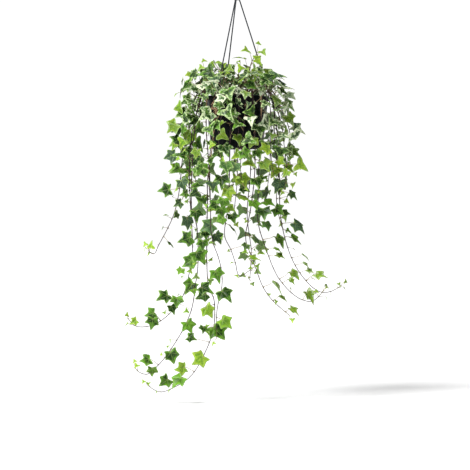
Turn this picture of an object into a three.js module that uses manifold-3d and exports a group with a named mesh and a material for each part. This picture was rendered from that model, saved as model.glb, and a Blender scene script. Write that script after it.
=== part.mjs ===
// A trailing variegated english ivy that overflows a round plastic hanging pot.
// Sizes are millimetres and +Z is up. The origin is the bearing point inside the top of the hook,
// and the front of the plant is toward -Y.
import * as THREE from "three";
import { mergeVertices } from "three/addons/utils/BufferGeometryUtils.js";
import Module from "manifold-3d";

const wasm = await Module();
wasm.setup();

// Pot
const RIM_Z = -270;
const RIM_RADIUS = 75;
const RIM_BAND_HEIGHT = 10;
const LIP_WIDTH = 4;
const WALL_TOP_RADIUS = 71.5;
const BASE_RADIUS = 60;
const POT_HEIGHT = 120;
const POT_WALL = 2;
const POT_SIDES = 36;
const DRAIN_HOLES = 6;
const DRAIN_HOLE_SIDES = 8;
const DRAIN_HOLE_RADIUS = 4;
const DRAIN_CIRCLE_RADIUS = 42;

// Ears on the rim band, which take the ends of the hanger
const EAR_AZIMUTHS = [352.5, 112.5, 232.5];
const EAR_WIDTH = 14;
const EAR_REACH = 84.5;
const EAR_TOP_DROP = 3;
const EAR_THICKNESS = 3;
const SLOT_RADIUS = 79;

// Hanger
const STRAND_RADIUS = 1.5;
const BEAD_WIDTH = 4.4;
const STRAND_TOP = new THREE.Vector2(3.6, -40);
const PLATE_WIDTH = 8;
const PLATE_THICKNESS = 2.4;
const PLATE_LENGTH = 45;
const BARB_WIDTH = 11.5;
const BARB_LENGTH = 9;
const HUB_RADIUS = 7.7;
const HUB_TOP_Z = -35.5;
const HUB_BOTTOM_Z = -47;
const HOOK_WIRE_RADIUS = 3;
const HOOK_BEND_RADIUS = 15;
const HANGER_CLEARANCE = 0.35;

// Soil and the holes that the stems stand in
const SOIL_DROP = 12;
const SOIL_DOME = 5;
const SOIL_CLEARANCE = 0.5;
const HOLE_DEPTH = 14;
const HOLE_CLEARANCE = 0.8;

// Ivy: stems, leaf stalks and blades
const STEM_RADIUS = 2;
const STEM_TIP_RADIUS = 1;
const NODE_HALF_LENGTH = 1.4;
const STALK_RADIUS = 0.85;
const STALK_BASE_RADIUS = 2.4;
const BLADE_HALF_THICKNESS = 0.8;
const LEAF_SIZE_HIGH = 28;
const LEAF_SIZE_LOW = 25.5;
const SMALL_LEAF_SIZE = 17;
const THREE_LOBED_SHARE = 0.45;
const LEAF_GAP_HIGH = 19;
const LEAF_GAP_LOW = 31;
const FIRST_LEAF = 34;
const LONGEST_STRETCH = 34;
const CLEARANCE = 1.1;
const STALK_START = 5;
const ATTEMPTS = 22;
const LISTED_DEPTHS = [10, 18, 3, 26, -8, 34, 42, -16, 50];
const SEED = 20417;

// Half outlines of a blade, from its stalk round to its tip: the angle from the tip in degrees,
// and the distance from the stalk as a share of the leaf's size.
const FIVE_LOBES = [[119, 0.53], [91, 0.48], [58, 0.77], [30, 0.58], [0, 1]];
const THREE_LOBES = [[102, 0.68], [44, 0.44], [0, 1]];

// Where stems come up through the soil, how high they arch above the rim, and how far out they
// are as they pass it.
const OUTER = { root: 53, lift: 9, pass: 84 };
const MIDDLE = { root: 37, lift: 18, pass: 87 };
const INNER = { root: 21, lift: 30, pass: 92 };
const RISING = { root: 28 };
const CENTRE = { root: 7 };

// The vines. The azimuth is where a vine leaves the pot, seen from above, with 270 at the front.
// Face is the azimuth that its leaves turn to and how far they tilt up.
// A trail lists points: across, back and the drop below the rim, which is negative above it.
// Leaves that stand out one by one are listed: across, drop, size, which way the tip points (in
// degrees from straight down, rising to the right) and how far the blade is turned edge-on.
const VINES = [
  { name: "vine_left_1", azimuth: 186, ring: MIDDLE, face: [245, 0.35], trail: [
    [-122, -8, 123], [-133, -6, 216], [-148, -4, 278], [-182, -4, 345], [-199, -6, 370],
    [-203, -8, 352],
  ], leaves: [
    [-110, 7, 25, -60, 10], [-121, 37, 27, -60, 10], [-103, 48, 25, -10, 10], [-129, 73, 27, -70, 10],
    [-106, 87, 27, -20, 10], [-134, 100, 29, -50, 10], [-117, 121, 27, 10, 10],
    [-146, 137, 27, -75, 10], [-135, 166, 27, -60, 10], [-118, 168, 25, 20, 10],
    [-157, 215, 27, -85, 15], [-130, 245, 19, -60, 20], [-137, 270, 17, -60, 60],
    [-172, 279, 19, 40, 72], [-157, 336, 17, 33, 74], [-199, 348, 16, 175, 20],
  ] },
  { name: "vine_left_2", azimuth: 200, ring: OUTER, face: [250, 0.35], trail: [
    [-100, -38, 70], [-109, -42, 158], [-107, -42, 245], [-103, -40, 313], [-102, -40, 366],
    [-108, -40, 400], [-122, -40, 455], [-149, -40, 494], [-181, -42, 520], [-217, -44, 531],
    [-236, -46, 526], [-249, -48, 511],
  ], leaves: [
    [-127, 196, 27, 20, 10], [-115, 224, 17, -70, 30], [-113, 282, 33, 8, 72],
    [-108, 326, 31, -70, 10], [-104, 377, 29, -50, 5], [-127, 398, 17, -30, 15],
    [-105, 402, 12, -80, 20], [-102, 431, 31, -35, 10], [-137, 464, 25, 0, 5],
    [-160, 458, 29, -55, 5], [-113, 491, 12, -60, 10], [-150, 483, 21, 20, 10],
    [-191, 498, 23, -75, 15], [-192, 512, 25, -10, 5], [-231, 515, 17, -60, 15],
  ] },
  { name: "vine_left_3", azimuth: 213, ring: INNER, face: [255, 0.35], trail: [
    [-96, -64, 70], [-104, -68, 247], [-91, -68, 304], [-89, -70, 390], [-97, -70, 446],
    [-102, -70, 484], [-124, -70, 537], [-166, -70, 601], [-202, -70, 635], [-220, -72, 635],
    [-232, -72, 622],
  ], leaves: [
    [-99, 210, 27, 80, 25], [-81, 234, 25, 15, 10], [-94, 267, 25, 5, 10], [-78, 334, 23, -5, 10],
    [-91, 360, 33, 40, 10], [-91, 413, 14, -60, 10], [-100, 445, 16, 10, 10], [-113, 520, 28, 25, 5],
    [-151, 587, 29, 20, 5], [-200, 602, 25, -70, 10], [-193, 623, 21, 0, 5], [-227, 615, 12, -30, 10],
  ] },
  { name: "vine_left_4", azimuth: 220, ring: MIDDLE, face: [255, 0.35], trail: [
    [-70, -84, 75], [-62, -106, 181], [-60, -112, 260], [-57, -112, 325], [-42, -110, 371],
    [-34, -108, 410], [-36, -106, 450], [-46, -104, 490], [-46, -104, 551],
  ], leaves: [
    [-30, 240, 25, -10, 10], [-46, 252, 23, -60, 10], [-36, 261, 23, 10, 10], [-48, 402, 29, 20, 10],
    [-33, 447, 32, 35, 10], [-33, 512, 29, 45, 10],
  ] },
  { name: "vine_front_1", azimuth: 244, ring: OUTER, face: [262, 0.35], trail: [
    [-46, -84, 26], [-51, -84, 66], [-57, -82, 125], [-67, -82, 195], [-67, -82, 245],
    [-69, -82, 331], [-66, -82, 432], [-52, -82, 468], [-53, -84, 530], [-71, -84, 583],
    [-102, -84, 637], [-140, -84, 664], [-174, -86, 676], [-190, -86, 672], [-204, -86, 658],
  ], leaves: [
    [-57, 297, 31, -60, 5], [-72, 312, 23, 0, 15], [-48, 319, 25, 35, 15], [-60, 328, 23, 20, 15],
    [-60, 422, 12, 0, 10], [-79, 438, 29, 60, 15], [-72, 454, 25, -60, 10], [-69, 484, 29, 35, 10],
    [-51, 531, 39, 35, 5], [-76, 528, 18, -20, 20], [-62, 547, 21, 20, 10], [-109, 551, 21, 70, 10],
    [-78, 596, 33, -50, 5], [-120, 620, 25, -75, 10], [-127, 643, 31, -35, 5],
    [-158, 648, 27, -50, 40], [-201, 655, 8, 0, 10],
  ] },
  { name: "vine_front_2", azimuth: 262, ring: MIDDLE, face: [265, 0.35], trail: [
    [-16, -98, 120], [-19, -98, 239], [-27, -96, 298], [-27, -94, 326], [-8, -94, 366],
    [2, -94, 408], [16, -94, 409], [38, -94, 392],
  ], leaves: [
    [-30, 119, 29, 20, 10], [-25, 158, 29, 0, 10], [-35, 190, 31, 0, 10], [-20, 218, 27, 10, 10],
    [-20, 257, 19, 60, 10], [-9, 273, 25, 15, 10], [-31, 281, 21, -60, 15], [-14, 300, 27, 50, 68],
    [22, 342, 17, -30, 20], [32, 372, 23, 80, 35], [42, 392, 25, 60, 45],
  ] },
  { name: "vine_front_3", azimuth: 273, ring: OUTER, face: [270, 0.35], trail: [
    [4, -88, 60], [2, -88, 124], [0, -88, 200], [-5, -90, 250], [-8, -92, 282],
  ], leaves: [
    [0, 96, 25, 0, 10], [13, 131, 28, 40, 10], [-4, 160, 25, -20, 10], [10, 188, 31, 20, 5],
    [11, 212, 21, 70, 10], [10, 233, 23, 80, 40],
  ] },
  { name: "vine_front_4", azimuth: 283, ring: INNER, face: [275, 0.35], trail: [
    [17, -104, 55], [10, -108, 130], [8, -110, 172], [13, -110, 205],
  ] },
  { name: "vine_front_5", azimuth: 295, ring: OUTER, face: [285, 0.4], trail: [
    [40, -86, 80], [41, -86, 150], [38, -86, 205], [30, -84, 265], [19, -80, 325],
    [26, -74, 350], [43, -66, 396], [57, -60, 434], [80, -54, 468], [119, -50, 503],
  ], leaves: [
    [46, 72, 33, 0, 10], [36, 102, 25, -20, 10], [44, 129, 25, 20, 10], [60, 155, 29, 30, 10],
    [43, 194, 29, 10, 10], [37, 244, 25, 10, 15], [39, 326, 27, 45, 62], [52, 358, 14, 60, 30],
    [85, 431, 35, 38, 70], [98, 461, 21, 42, 70], [124, 488, 27, 42, 72],
  ] },
  { name: "vine_right_1", azimuth: 309, ring: MIDDLE, face: [330, 0.6], trail: [
    [54, -70, 90], [49, -66, 180], [48, -62, 250], [48, -60, 290], [60, -54, 334],
    [88, -48, 406], [114, -42, 441], [140, -38, 464], [169, -36, 472], [184, -36, 464],
    [198, -36, 447],
  ], leaves: [
    [64, 244, 27, 50, 15], [59, 262, 31, 0, 5], [66, 292, 23, 5, 45], [50, 299, 25, 25, 70],
    [91, 326, 31, 28, 68], [87, 350, 19, 30, 55], [92, 366, 21, 60, 40], [125, 405, 27, 40, 62],
    [120, 422, 17, 30, 68], [161, 452, 31, 35, 48], [180, 447, 14, 45, 50],
  ] },
  { name: "vine_right_2", azimuth: 342, ring: OUTER, face: [320, 0.6], trail: [
    [86, -27, 40], [86, -26, 112], [97, -24, 175], [99, -22, 262], [110, -20, 326],
    [130, -18, 382], [158, -16, 424], [189, -14, 450], [218, -14, 449], [239, -14, 437],
  ], leaves: [
    [98, 199, 29, -20, 10], [122, 225, 21, 60, 30], [112, 241, 12, 60, 30], [89, 259, 25, 50, 15],
    [107, 268, 17, 80, 20], [134, 293, 35, 45, 38], [115, 309, 14, 60, 50], [127, 326, 27, 42, 70],
    [153, 367, 23, 55, 70], [153, 385, 17, 30, 62], [163, 400, 17, 60, 45], [184, 409, 29, 50, 20],
    [203, 437, 14, 45, 58], [234, 431, 10, 20, 40],
  ] },
  { name: "vine_right_3", azimuth: 3, ring: MIDDLE, face: [310, 0.5], trail: [
    [116, 6, 60], [124, 8, 100], [120, 10, 135], [128, 12, 170],
  ], leaves: [
    [96, -14, 25, 60, 20], [112, 13, 31, 45, 15], [116, 46, 27, 30, 15], [131, 72, 29, 60, 15],
    [102, 97, 25, 20, 45], [127, 126, 25, 50, 30], [115, 160, 23, 30, 20],
  ] },
  { name: "vine_front_6", azimuth: 254, ring: INNER, face: [262, 0.35], trail: [
    [-35, -104, 50], [-42, -108, 95], [-38, -112, 140],
  ] },
  { name: "vine_right_4", azimuth: 319, ring: INNER, face: [300, 0.4], trail: [
    [78, -68, 60], [76, -72, 120], [82, -74, 175],
  ] },
  { name: "vine_right_5", azimuth: 330, ring: MIDDLE, face: [300, 0.4], trail: [
    [100, -52, 60], [108, -54, 120], [114, -56, 175], [108, -58, 215],
  ] },
  { name: "vine_left_5", azimuth: 173, ring: OUTER, face: [230, 0.35], trail: [
    [-98, 14, 60], [-106, 16, 130], [-114, 18, 190], [-126, 20, 235],
  ] },
  { name: "vine_left_6", azimuth: 194, ring: INNER, face: [245, 0.4], trail: [
    [-108, -30, 45], [-120, -34, 90], [-126, -36, 135],
  ] },
  { name: "vine_rear_1", azimuth: 20, ring: OUTER, face: [30, 0.35], trail: [
    [92, 34, 70], [98, 40, 150], [92, 44, 240], [104, 50, 300],
  ] },
  { name: "vine_rear_2", azimuth: 44, ring: MIDDLE, face: [50, 0.35], trail: [
    [74, 72, 80], [78, 80, 150], [72, 84, 205],
  ] },
  { name: "vine_rear_3", azimuth: 72, ring: OUTER, face: [75, 0.35], trail: [
    [28, 86, 80], [32, 90, 170], [24, 92, 270], [34, 96, 360], [30, 98, 425],
  ] },
  { name: "vine_rear_4", azimuth: 95, ring: MIDDLE, face: [90, 0.35], trail: [
    [-8, 98, 80], [-6, 104, 160], [-14, 106, 240],
  ] },
  { name: "vine_rear_5", azimuth: 130, ring: OUTER, face: [120, 0.35], trail: [
    [-58, 68, 80], [-66, 76, 170], [-62, 80, 280], [-74, 84, 370],
  ] },
  { name: "vine_rear_6", azimuth: 152, ring: MIDDLE, face: [150, 0.35], trail: [
    [-92, 50, 70], [-100, 56, 140], [-96, 60, 200],
  ] },
  { name: "shoot_left", azimuth: 204, ring: RISING, face: [250, 0.6], trail: [
    [-40, -22, -18], [-62, -28, -44], [-76, -30, -64],
  ] },
  { name: "shoot_far_left", azimuth: 172, ring: RISING, face: [235, 0.8], trail: [
    [-60, 10, -26], [-92, 8, -30], [-124, 4, -12],
  ] },
  { name: "shoot_right", azimuth: 310, ring: RISING, face: [280, 0.6], trail: [
    [26, -28, -20], [28, -30, -52], [33, -30, -76], [46, -30, -98],
  ] },
  { name: "shoot_far_right", azimuth: 335, ring: RISING, face: [310, 0.8], trail: [
    [44, -18, -24], [70, -22, -36], [94, -24, -26],
  ] },
  { name: "shoot_centre", azimuth: 270, ring: CENTRE, face: [268, 0.7], trail: [
    [-4, -12, -18], [-6, -16, -42], [-12, -18, -66],
  ] },
  { name: "shoot_front_left", azimuth: 250, ring: RISING, face: [265, 0.6], trail: [
    [-20, -34, -20], [-30, -36, -42], [-40, -38, -60],
  ] },
  { name: "shoot_front_right", azimuth: 285, ring: RISING, face: [275, 0.6], trail: [
    [4, -36, -20], [2, -38, -42], [8, -40, -62],
  ] },
  { name: "shoot_rear_left", azimuth: 140, ring: RISING, face: [130, 0.7], trail: [
    [-30, 30, -18], [-38, 44, -44], [-44, 52, -66],
  ] },
  { name: "shoot_rear_right", azimuth: 50, ring: RISING, face: [60, 0.7], trail: [
    [26, 30, -18], [34, 44, -42], [44, 50, -62],
  ] },
];

const UP = new THREE.Vector3(0, 0, 1);
const DOWN = new THREE.Vector3(0, 0, -1);
const FRONT = new THREE.Vector3(0, -1, 0);

const mix = THREE.MathUtils.lerp;

// How far a value has come from low to high, eased at both ends
function between(value, low, high) {
  const share = THREE.MathUtils.clamp((value - low) / (high - low), 0, 1);
  return share * share * (3 - 2 * share);
}

// The point at a radius, an azimuth in degrees and a height
function around(radius, azimuth, z) {
  const angle = THREE.MathUtils.degToRad(azimuth);
  return new THREE.Vector3(radius * Math.cos(angle), radius * Math.sin(angle), z);
}

// A sum of vectors, each with its factor
function blend(...terms) {
  const sum = new THREE.Vector3();
  for (const [vector, factor] of terms) sum.addScaledVector(vector, factor);
  return sum;
}

// A direction made square to another
function square(direction, along) {
  return blend([direction, 1], [along, -direction.dot(along)]).normalize();
}

// A seeded draw from 0 to 1 that doesn't depend on the order in which leaves are made
function draw(vine, leaf, attempt, channel) {
  let state = SEED;
  for (const key of [vine, leaf, attempt, channel]) {
    state = Math.imul(state ^ key, 0x9e3779b1) >>> 0;
    state = (state ^ (state >>> 15)) >>> 0;
    state = Math.imul(state, 0x85ebca6b) >>> 0;
    state = (state ^ (state >>> 13)) >>> 0;
  }
  return state / 4294967296;
}

// Solids from closed surfaces, and back
function solidFromFaces(points, faces) {
  const vertProperties = new Float32Array(points.flatMap((point) => point.toArray()));
  const triVerts = new Uint32Array(faces.flat());
  return new wasm.Manifold(new wasm.Mesh({ numProp: 3, vertProperties, triVerts }));
}

function solidFromGeometry(geometry) {
  geometry.deleteAttribute("normal");
  geometry.deleteAttribute("uv");
  const merged = mergeVertices(geometry, 1e-4);
  const vertProperties = merged.attributes.position.array;
  const triVerts = new Uint32Array(merged.index.array);
  return new wasm.Manifold(new wasm.Mesh({ numProp: 3, vertProperties, triVerts }));
}

function geometryFromSolid(solid) {
  const { vertProperties, triVerts } = solid.getMesh();
  const geometry = new THREE.BufferGeometry();
  geometry.setAttribute("position", new THREE.BufferAttribute(vertProperties, 3));
  geometry.setIndex(new THREE.BufferAttribute(triVerts, 1));
  geometry.computeVertexNormals();
  return geometry;
}

// A solid turned from a profile of [radius, z] points, which starts and ends on the axis
function turned(profile, sides) {
  const points = profile.map(([radius, z]) => new THREE.Vector2(radius, z));
  const geometry = new THREE.LatheGeometry(points, sides);
  geometry.rotateX(Math.PI / 2);
  return solidFromGeometry(geometry);
}

// A solid through a row of rings with equal point counts, capped at both ends. Each ring runs
// counter-clockwise as seen from the far end.
function loft(rings) {
  const count = rings[0].length;
  const faces = [];
  for (let ring = 0; ring + 1 < rings.length; ring++) {
    for (let side = 0; side < count; side++) {
      const a = ring * count + side;
      const b = ring * count + ((side + 1) % count);
      faces.push([a, b, b + count], [a, b + count, a + count]);
    }
  }
  const last = (rings.length - 1) * count;
  for (let side = 1; side + 1 < count; side++) {
    faces.push([0, side + 1, side], [last, last + side, last + side + 1]);
  }
  return solidFromFaces(rings.flat(), faces);
}

// A tube along a row of points whose radius may change, with its frame carried along unturned
function tube(points, radii, sides, firstSide) {
  let across = firstSide.clone();
  const rings = points.map((point, index) => {
    const before = points[Math.max(index - 1, 0)];
    const after = points[Math.min(index + 1, points.length - 1)];
    const along = after.clone().sub(before).normalize();
    across = blend([across, 1], [along, -across.dot(along)]).normalize();
    const third = along.clone().cross(across);
    return Array.from({ length: sides }, (_, side) => {
      const angle = (2 * Math.PI * side) / sides;
      const radius = radii[index];
      return blend(
        [point, 1],
        [across, radius * Math.cos(angle)],
        [third, radius * Math.sin(angle)],
      );
    });
  });
  return loft(rings);
}

// Pot: one moulding with a rim band, drain holes, and three ears with a slanted slot for each
// strand
function potInnerRadius(drop) {
  const depth = POT_HEIGHT - POT_WALL - RIM_BAND_HEIGHT;
  const share = (drop - RIM_BAND_HEIGHT) / depth;
  return mix(WALL_TOP_RADIUS - POT_WALL, BASE_RADIUS - POT_WALL, share);
}

function strandPath(azimuth) {
  const top = around(STRAND_TOP.x, azimuth, STRAND_TOP.y);
  const slot = around(SLOT_RADIUS, azimuth, RIM_Z - EAR_TOP_DROP - EAR_THICKNESS / 2);
  const along = slot.clone().sub(top).normalize();
  return { top, slot, along, length: slot.distanceTo(top) };
}

// Part of a strand: rings given as [distance from the top, width, thickness], each a rectangle
// with its corners cut off
function strandPart(azimuth, rings, grow) {
  const { top, along } = strandPath(azimuth);
  const wide = around(1, azimuth + 90, 0);
  const thick = along.clone().cross(wide);
  return loft(rings.map(([distance, width, thickness]) => {
    const w = width / 2 + grow;
    const t = thickness / 2 + grow;
    const cut = Math.min(w, t) * 0.58;
    const corners = [
      [w, t - cut], [w - cut, t], [cut - w, t], [-w, t - cut],
      [-w, cut - t], [cut - w, -t], [w - cut, -t], [w, cut - t],
    ];
    return corners.map(([a, b]) => blend([top, 1], [along, distance], [wide, a], [thick, b]));
  }));
}

function makePot() {
  const base = RIM_Z - POT_HEIGHT;
  const band = RIM_Z - RIM_BAND_HEIGHT;
  let pot = turned([
    [0, base],
    [BASE_RADIUS, base],
    [WALL_TOP_RADIUS, band],
    [RIM_RADIUS, band],
    [RIM_RADIUS, RIM_Z],
    [RIM_RADIUS - LIP_WIDTH, RIM_Z],
    [potInnerRadius(RIM_BAND_HEIGHT), band],
    [potInnerRadius(POT_HEIGHT - POT_WALL), base + POT_WALL],
    [0, base + POT_WALL],
  ], POT_SIDES);
  for (let hole = 0; hole < DRAIN_HOLES; hole++) {
    const drill = new THREE.CylinderGeometry(
      DRAIN_HOLE_RADIUS, DRAIN_HOLE_RADIUS, 3 * POT_WALL, DRAIN_HOLE_SIDES,
    );
    drill.rotateX(Math.PI / 2);
    const azimuth = (360 * hole) / DRAIN_HOLES;
    drill.translate(...around(DRAIN_CIRCLE_RADIUS, azimuth, base + POT_WALL / 2).toArray());
    pot = pot.subtract(solidFromGeometry(drill));
  }
  for (const azimuth of EAR_AZIMUTHS) {
    const inside = RIM_RADIUS - LIP_WIDTH / 2;
    const ear = new THREE.BoxGeometry(EAR_REACH - inside, EAR_WIDTH, EAR_THICKNESS);
    ear.rotateZ(THREE.MathUtils.degToRad(azimuth));
    const middle = RIM_Z - EAR_TOP_DROP - EAR_THICKNESS / 2;
    ear.translate(...around((EAR_REACH + inside) / 2, azimuth, middle).toArray());
    const { length } = strandPath(azimuth);
    const slot = strandPart(azimuth, [
      [length - 6, PLATE_WIDTH, PLATE_THICKNESS],
      [length + 6, PLATE_WIDTH, PLATE_THICKNESS],
    ], HANGER_CLEARANCE);
    pot = pot.add(solidFromGeometry(ear)).subtract(slot);
  }
  return pot;
}

// Hanger strand: a bead held in the hub, a thin rod, a flat end through the ear, and a barb
function beadRings(room) {
  const rod = 2 * STRAND_RADIUS;
  return [
    [-2.2 - room, 2.6, 2.6],
    [-1.2, BEAD_WIDTH, BEAD_WIDTH],
    [1.2, BEAD_WIDTH, BEAD_WIDTH],
    [2.2, rod, rod],
  ];
}

function makeStrand(azimuth) {
  const { length } = strandPath(azimuth);
  const rod = 2 * STRAND_RADIUS;
  const barb = length + EAR_THICKNESS / 2 + 1.6;
  return strandPart(azimuth, [
    ...beadRings(0),
    [length - PLATE_LENGTH - 9, rod, rod],
    [length - PLATE_LENGTH, PLATE_WIDTH, PLATE_THICKNESS],
    [barb, PLATE_WIDTH, PLATE_THICKNESS],
    [barb + 0.2, BARB_WIDTH, PLATE_THICKNESS],
    [barb + BARB_LENGTH, PLATE_WIDTH / 2, PLATE_THICKNESS],
  ], 0);
}

// Hook: a hub with a socket for each strand's bead, a shank, and an open bend round the bearing
// point
function makeHook() {
  const bendZ = HOOK_WIRE_RADIUS - HOOK_BEND_RADIUS;
  const points = [
    new THREE.Vector3(0, 0, HUB_TOP_Z - 1.5),
    new THREE.Vector3(0, 0, HUB_TOP_Z + 2.5),
    new THREE.Vector3(4.5, 0, bendZ - 16.5),
    new THREE.Vector3(11.5, 0, bendZ - 10.5),
  ];
  for (let angle = 0; angle <= 200; angle += 20) {
    const turn = THREE.MathUtils.degToRad(angle);
    const x = HOOK_BEND_RADIUS * Math.cos(turn);
    points.push(new THREE.Vector3(x, 0, bendZ + HOOK_BEND_RADIUS * Math.sin(turn)));
  }
  const radii = points.map(() => HOOK_WIRE_RADIUS);
  const wire = tube(points, radii, 8, new THREE.Vector3(0, 1, 0));
  let hook = turned([
    [0, HUB_BOTTOM_Z],
    [HUB_RADIUS - 1, HUB_BOTTOM_Z],
    [HUB_RADIUS, HUB_BOTTOM_Z + 1],
    [HUB_RADIUS, HUB_TOP_Z - 1],
    [HUB_RADIUS - 1, HUB_TOP_Z],
    [0, HUB_TOP_Z],
  ], 20).add(wire);
  for (const azimuth of EAR_AZIMUTHS) {
    const rings = [...beadRings(HANGER_CLEARANCE), [12, 2 * STRAND_RADIUS, 2 * STRAND_RADIUS]];
    hook = hook.subtract(strandPart(azimuth, rings, HANGER_CLEARANCE));
  }
  return hook;
}

// Soil: a low dome that fills the pot to just below the rim
function soilTop(radius) {
  const share = radius / potInnerRadius(SOIL_DROP);
  return RIM_Z - SOIL_DROP + SOIL_DOME * (1 - share * share);
}

function makeSoil() {
  const edge = potInnerRadius(SOIL_DROP) - SOIL_CLEARANCE;
  const floor = potInnerRadius(POT_HEIGHT - POT_WALL) - SOIL_CLEARANCE;
  const bottom = RIM_Z - POT_HEIGHT + POT_WALL + SOIL_CLEARANCE;
  return turned([
    [0, bottom],
    [floor, bottom],
    [edge, soilTop(edge)],
    [edge / 2, soilTop(edge / 2)],
    [0, soilTop(0)],
  ], POT_SIDES);
}

// The line of a vine's stem: up through the soil, over the rim where it hangs, along its trail
function stemCurve({ azimuth, ring, trail }) {
  const ground = soilTop(ring.root);
  const points = [
    around(ring.root, azimuth, ground - HOLE_DEPTH),
    around(ring.root, azimuth, ground - HOLE_DEPTH / 2),
    around(ring.root, azimuth, ground + 2),
  ];
  if (ring.pass) {
    const reach = ring.pass - ring.root;
    points.push(
      around(ring.root + 0.22 * reach, azimuth, RIM_Z + 0.68 * ring.lift),
      around(ring.root + 0.68 * reach, azimuth, RIM_Z + ring.lift),
      around(ring.pass, azimuth, RIM_Z + 0.3 * ring.lift),
    );
  }
  for (const [x, y, drop] of trail) points.push(new THREE.Vector3(x, y, RIM_Z - drop));
  return new THREE.CatmullRomCurve3(points, false, "catmullrom", 0.5);
}

// Points of a curve at any distance along it
function measured(curve) {
  const steps = 12 * (curve.points.length - 1);
  const points = curve.getPoints(steps);
  const lengths = [0];
  for (let step = 1; step <= steps; step++) {
    lengths.push(lengths[step - 1] + points[step].distanceTo(points[step - 1]));
  }
  const length = lengths[steps];
  const pointAt = (distance) => {
    const step = Math.max(1, lengths.findIndex((value) => value >= distance));
    const share = (distance - lengths[step - 1]) / (lengths[step] - lengths[step - 1]);
    return points[step - 1].clone().lerp(points[step], share);
  };
  return { length, pointAt };
}

// How far along a stem a listed leaf's stalk starts: a little before the nearest point to it as
// seen from the front
function stalkStart({ length, pointAt }, [x, drop], from) {
  let best = { distance: from, gap: Infinity };
  for (let distance = from; distance < length; distance += 2) {
    const point = pointAt(distance);
    const gap = Math.hypot(point.x - x, RIM_Z - point.z - drop);
    if (gap < best.gap) best = { distance, gap };
  }
  return Math.max(from, best.distance - 6);
}

// The places along a stem: leaves are wider apart below the rim and closer again toward the tip,
// or as listed, and a long bare stretch gets places of its own so that it bends smoothly
function stemStations(vine, number) {
  const line = measured(stemCurve(vine));
  const { length, pointAt } = line;
  const highAt = (distance) => 1 - between(RIM_Z - pointAt(distance).z, -5, 60);
  const listed = vine.leaves ?? [];
  const marks = [{ distance: 0 }, { distance: HOLE_DEPTH + 3 }];
  const end = listed.length ? stalkStart(line, listed[0], FIRST_LEAF) - 8 : length - 5;
  let distance = FIRST_LEAF;
  while (distance < end) {
    marks.push({ distance, leafy: true });
    const spread = 1 + 0.2 * (draw(number, marks.length, 0, 0) - 0.5);
    const closer = THREE.MathUtils.clamp(0.4 + (length - distance) / 160, 0.4, 1);
    distance += mix(LEAF_GAP_LOW, LEAF_GAP_HIGH, highAt(distance)) * spread * closer;
  }
  for (const spot of listed) {
    distance = stalkStart(line, spot, distance + 2 * NODE_HALF_LENGTH + 2);
    if (distance < length - 6) marks.push({ distance, leafy: true, spot });
  }
  marks.push({ distance: length - 0.01, leafy: true });

  const stations = [];
  marks.forEach((mark, place) => {
    const before = place > 1 ? marks[place - 1].distance : mark.distance;
    const fills = Math.floor((mark.distance - before) / LONGEST_STRETCH);
    for (let fill = 1; fill <= fills; fill++) {
      const between = mix(before, mark.distance, fill / (fills + 1));
      stations.push({ point: pointAt(between) });
    }
    stations.push({
      ...mark,
      point: pointAt(mark.distance),
      high: highAt(mark.distance),
      left: length - mark.distance,
      index: place,
    });
  });
  return stations;
}

function alongStem(stations, place) {
  const before = stations[Math.max(place - 1, 0)].point;
  const after = stations[Math.min(place + 1, stations.length - 1)].point;
  return after.clone().sub(before).normalize();
}

// A leaf's stalk and blade directions are checked and completed: the blade doesn't fold back onto
// its stalk, and the stalk doesn't cross it
function posed(root, junction, face, drift, details) {
  const back = root.clone().sub(junction).normalize();
  const normal = face.clone().normalize();
  const forward = square(drift, normal);
  const right = forward.clone().cross(normal);
  const folded = back.dot(normal) > 0.25;
  const under = back.dot(forward) > 0.2 && back.dot(normal) > -0.4;
  const flat = Math.abs(back.dot(right)) > 0.92;
  const valid = !folded && !under && !flat;
  return { valid, root, back, junction, normal, forward, right, ...details };
}

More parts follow.
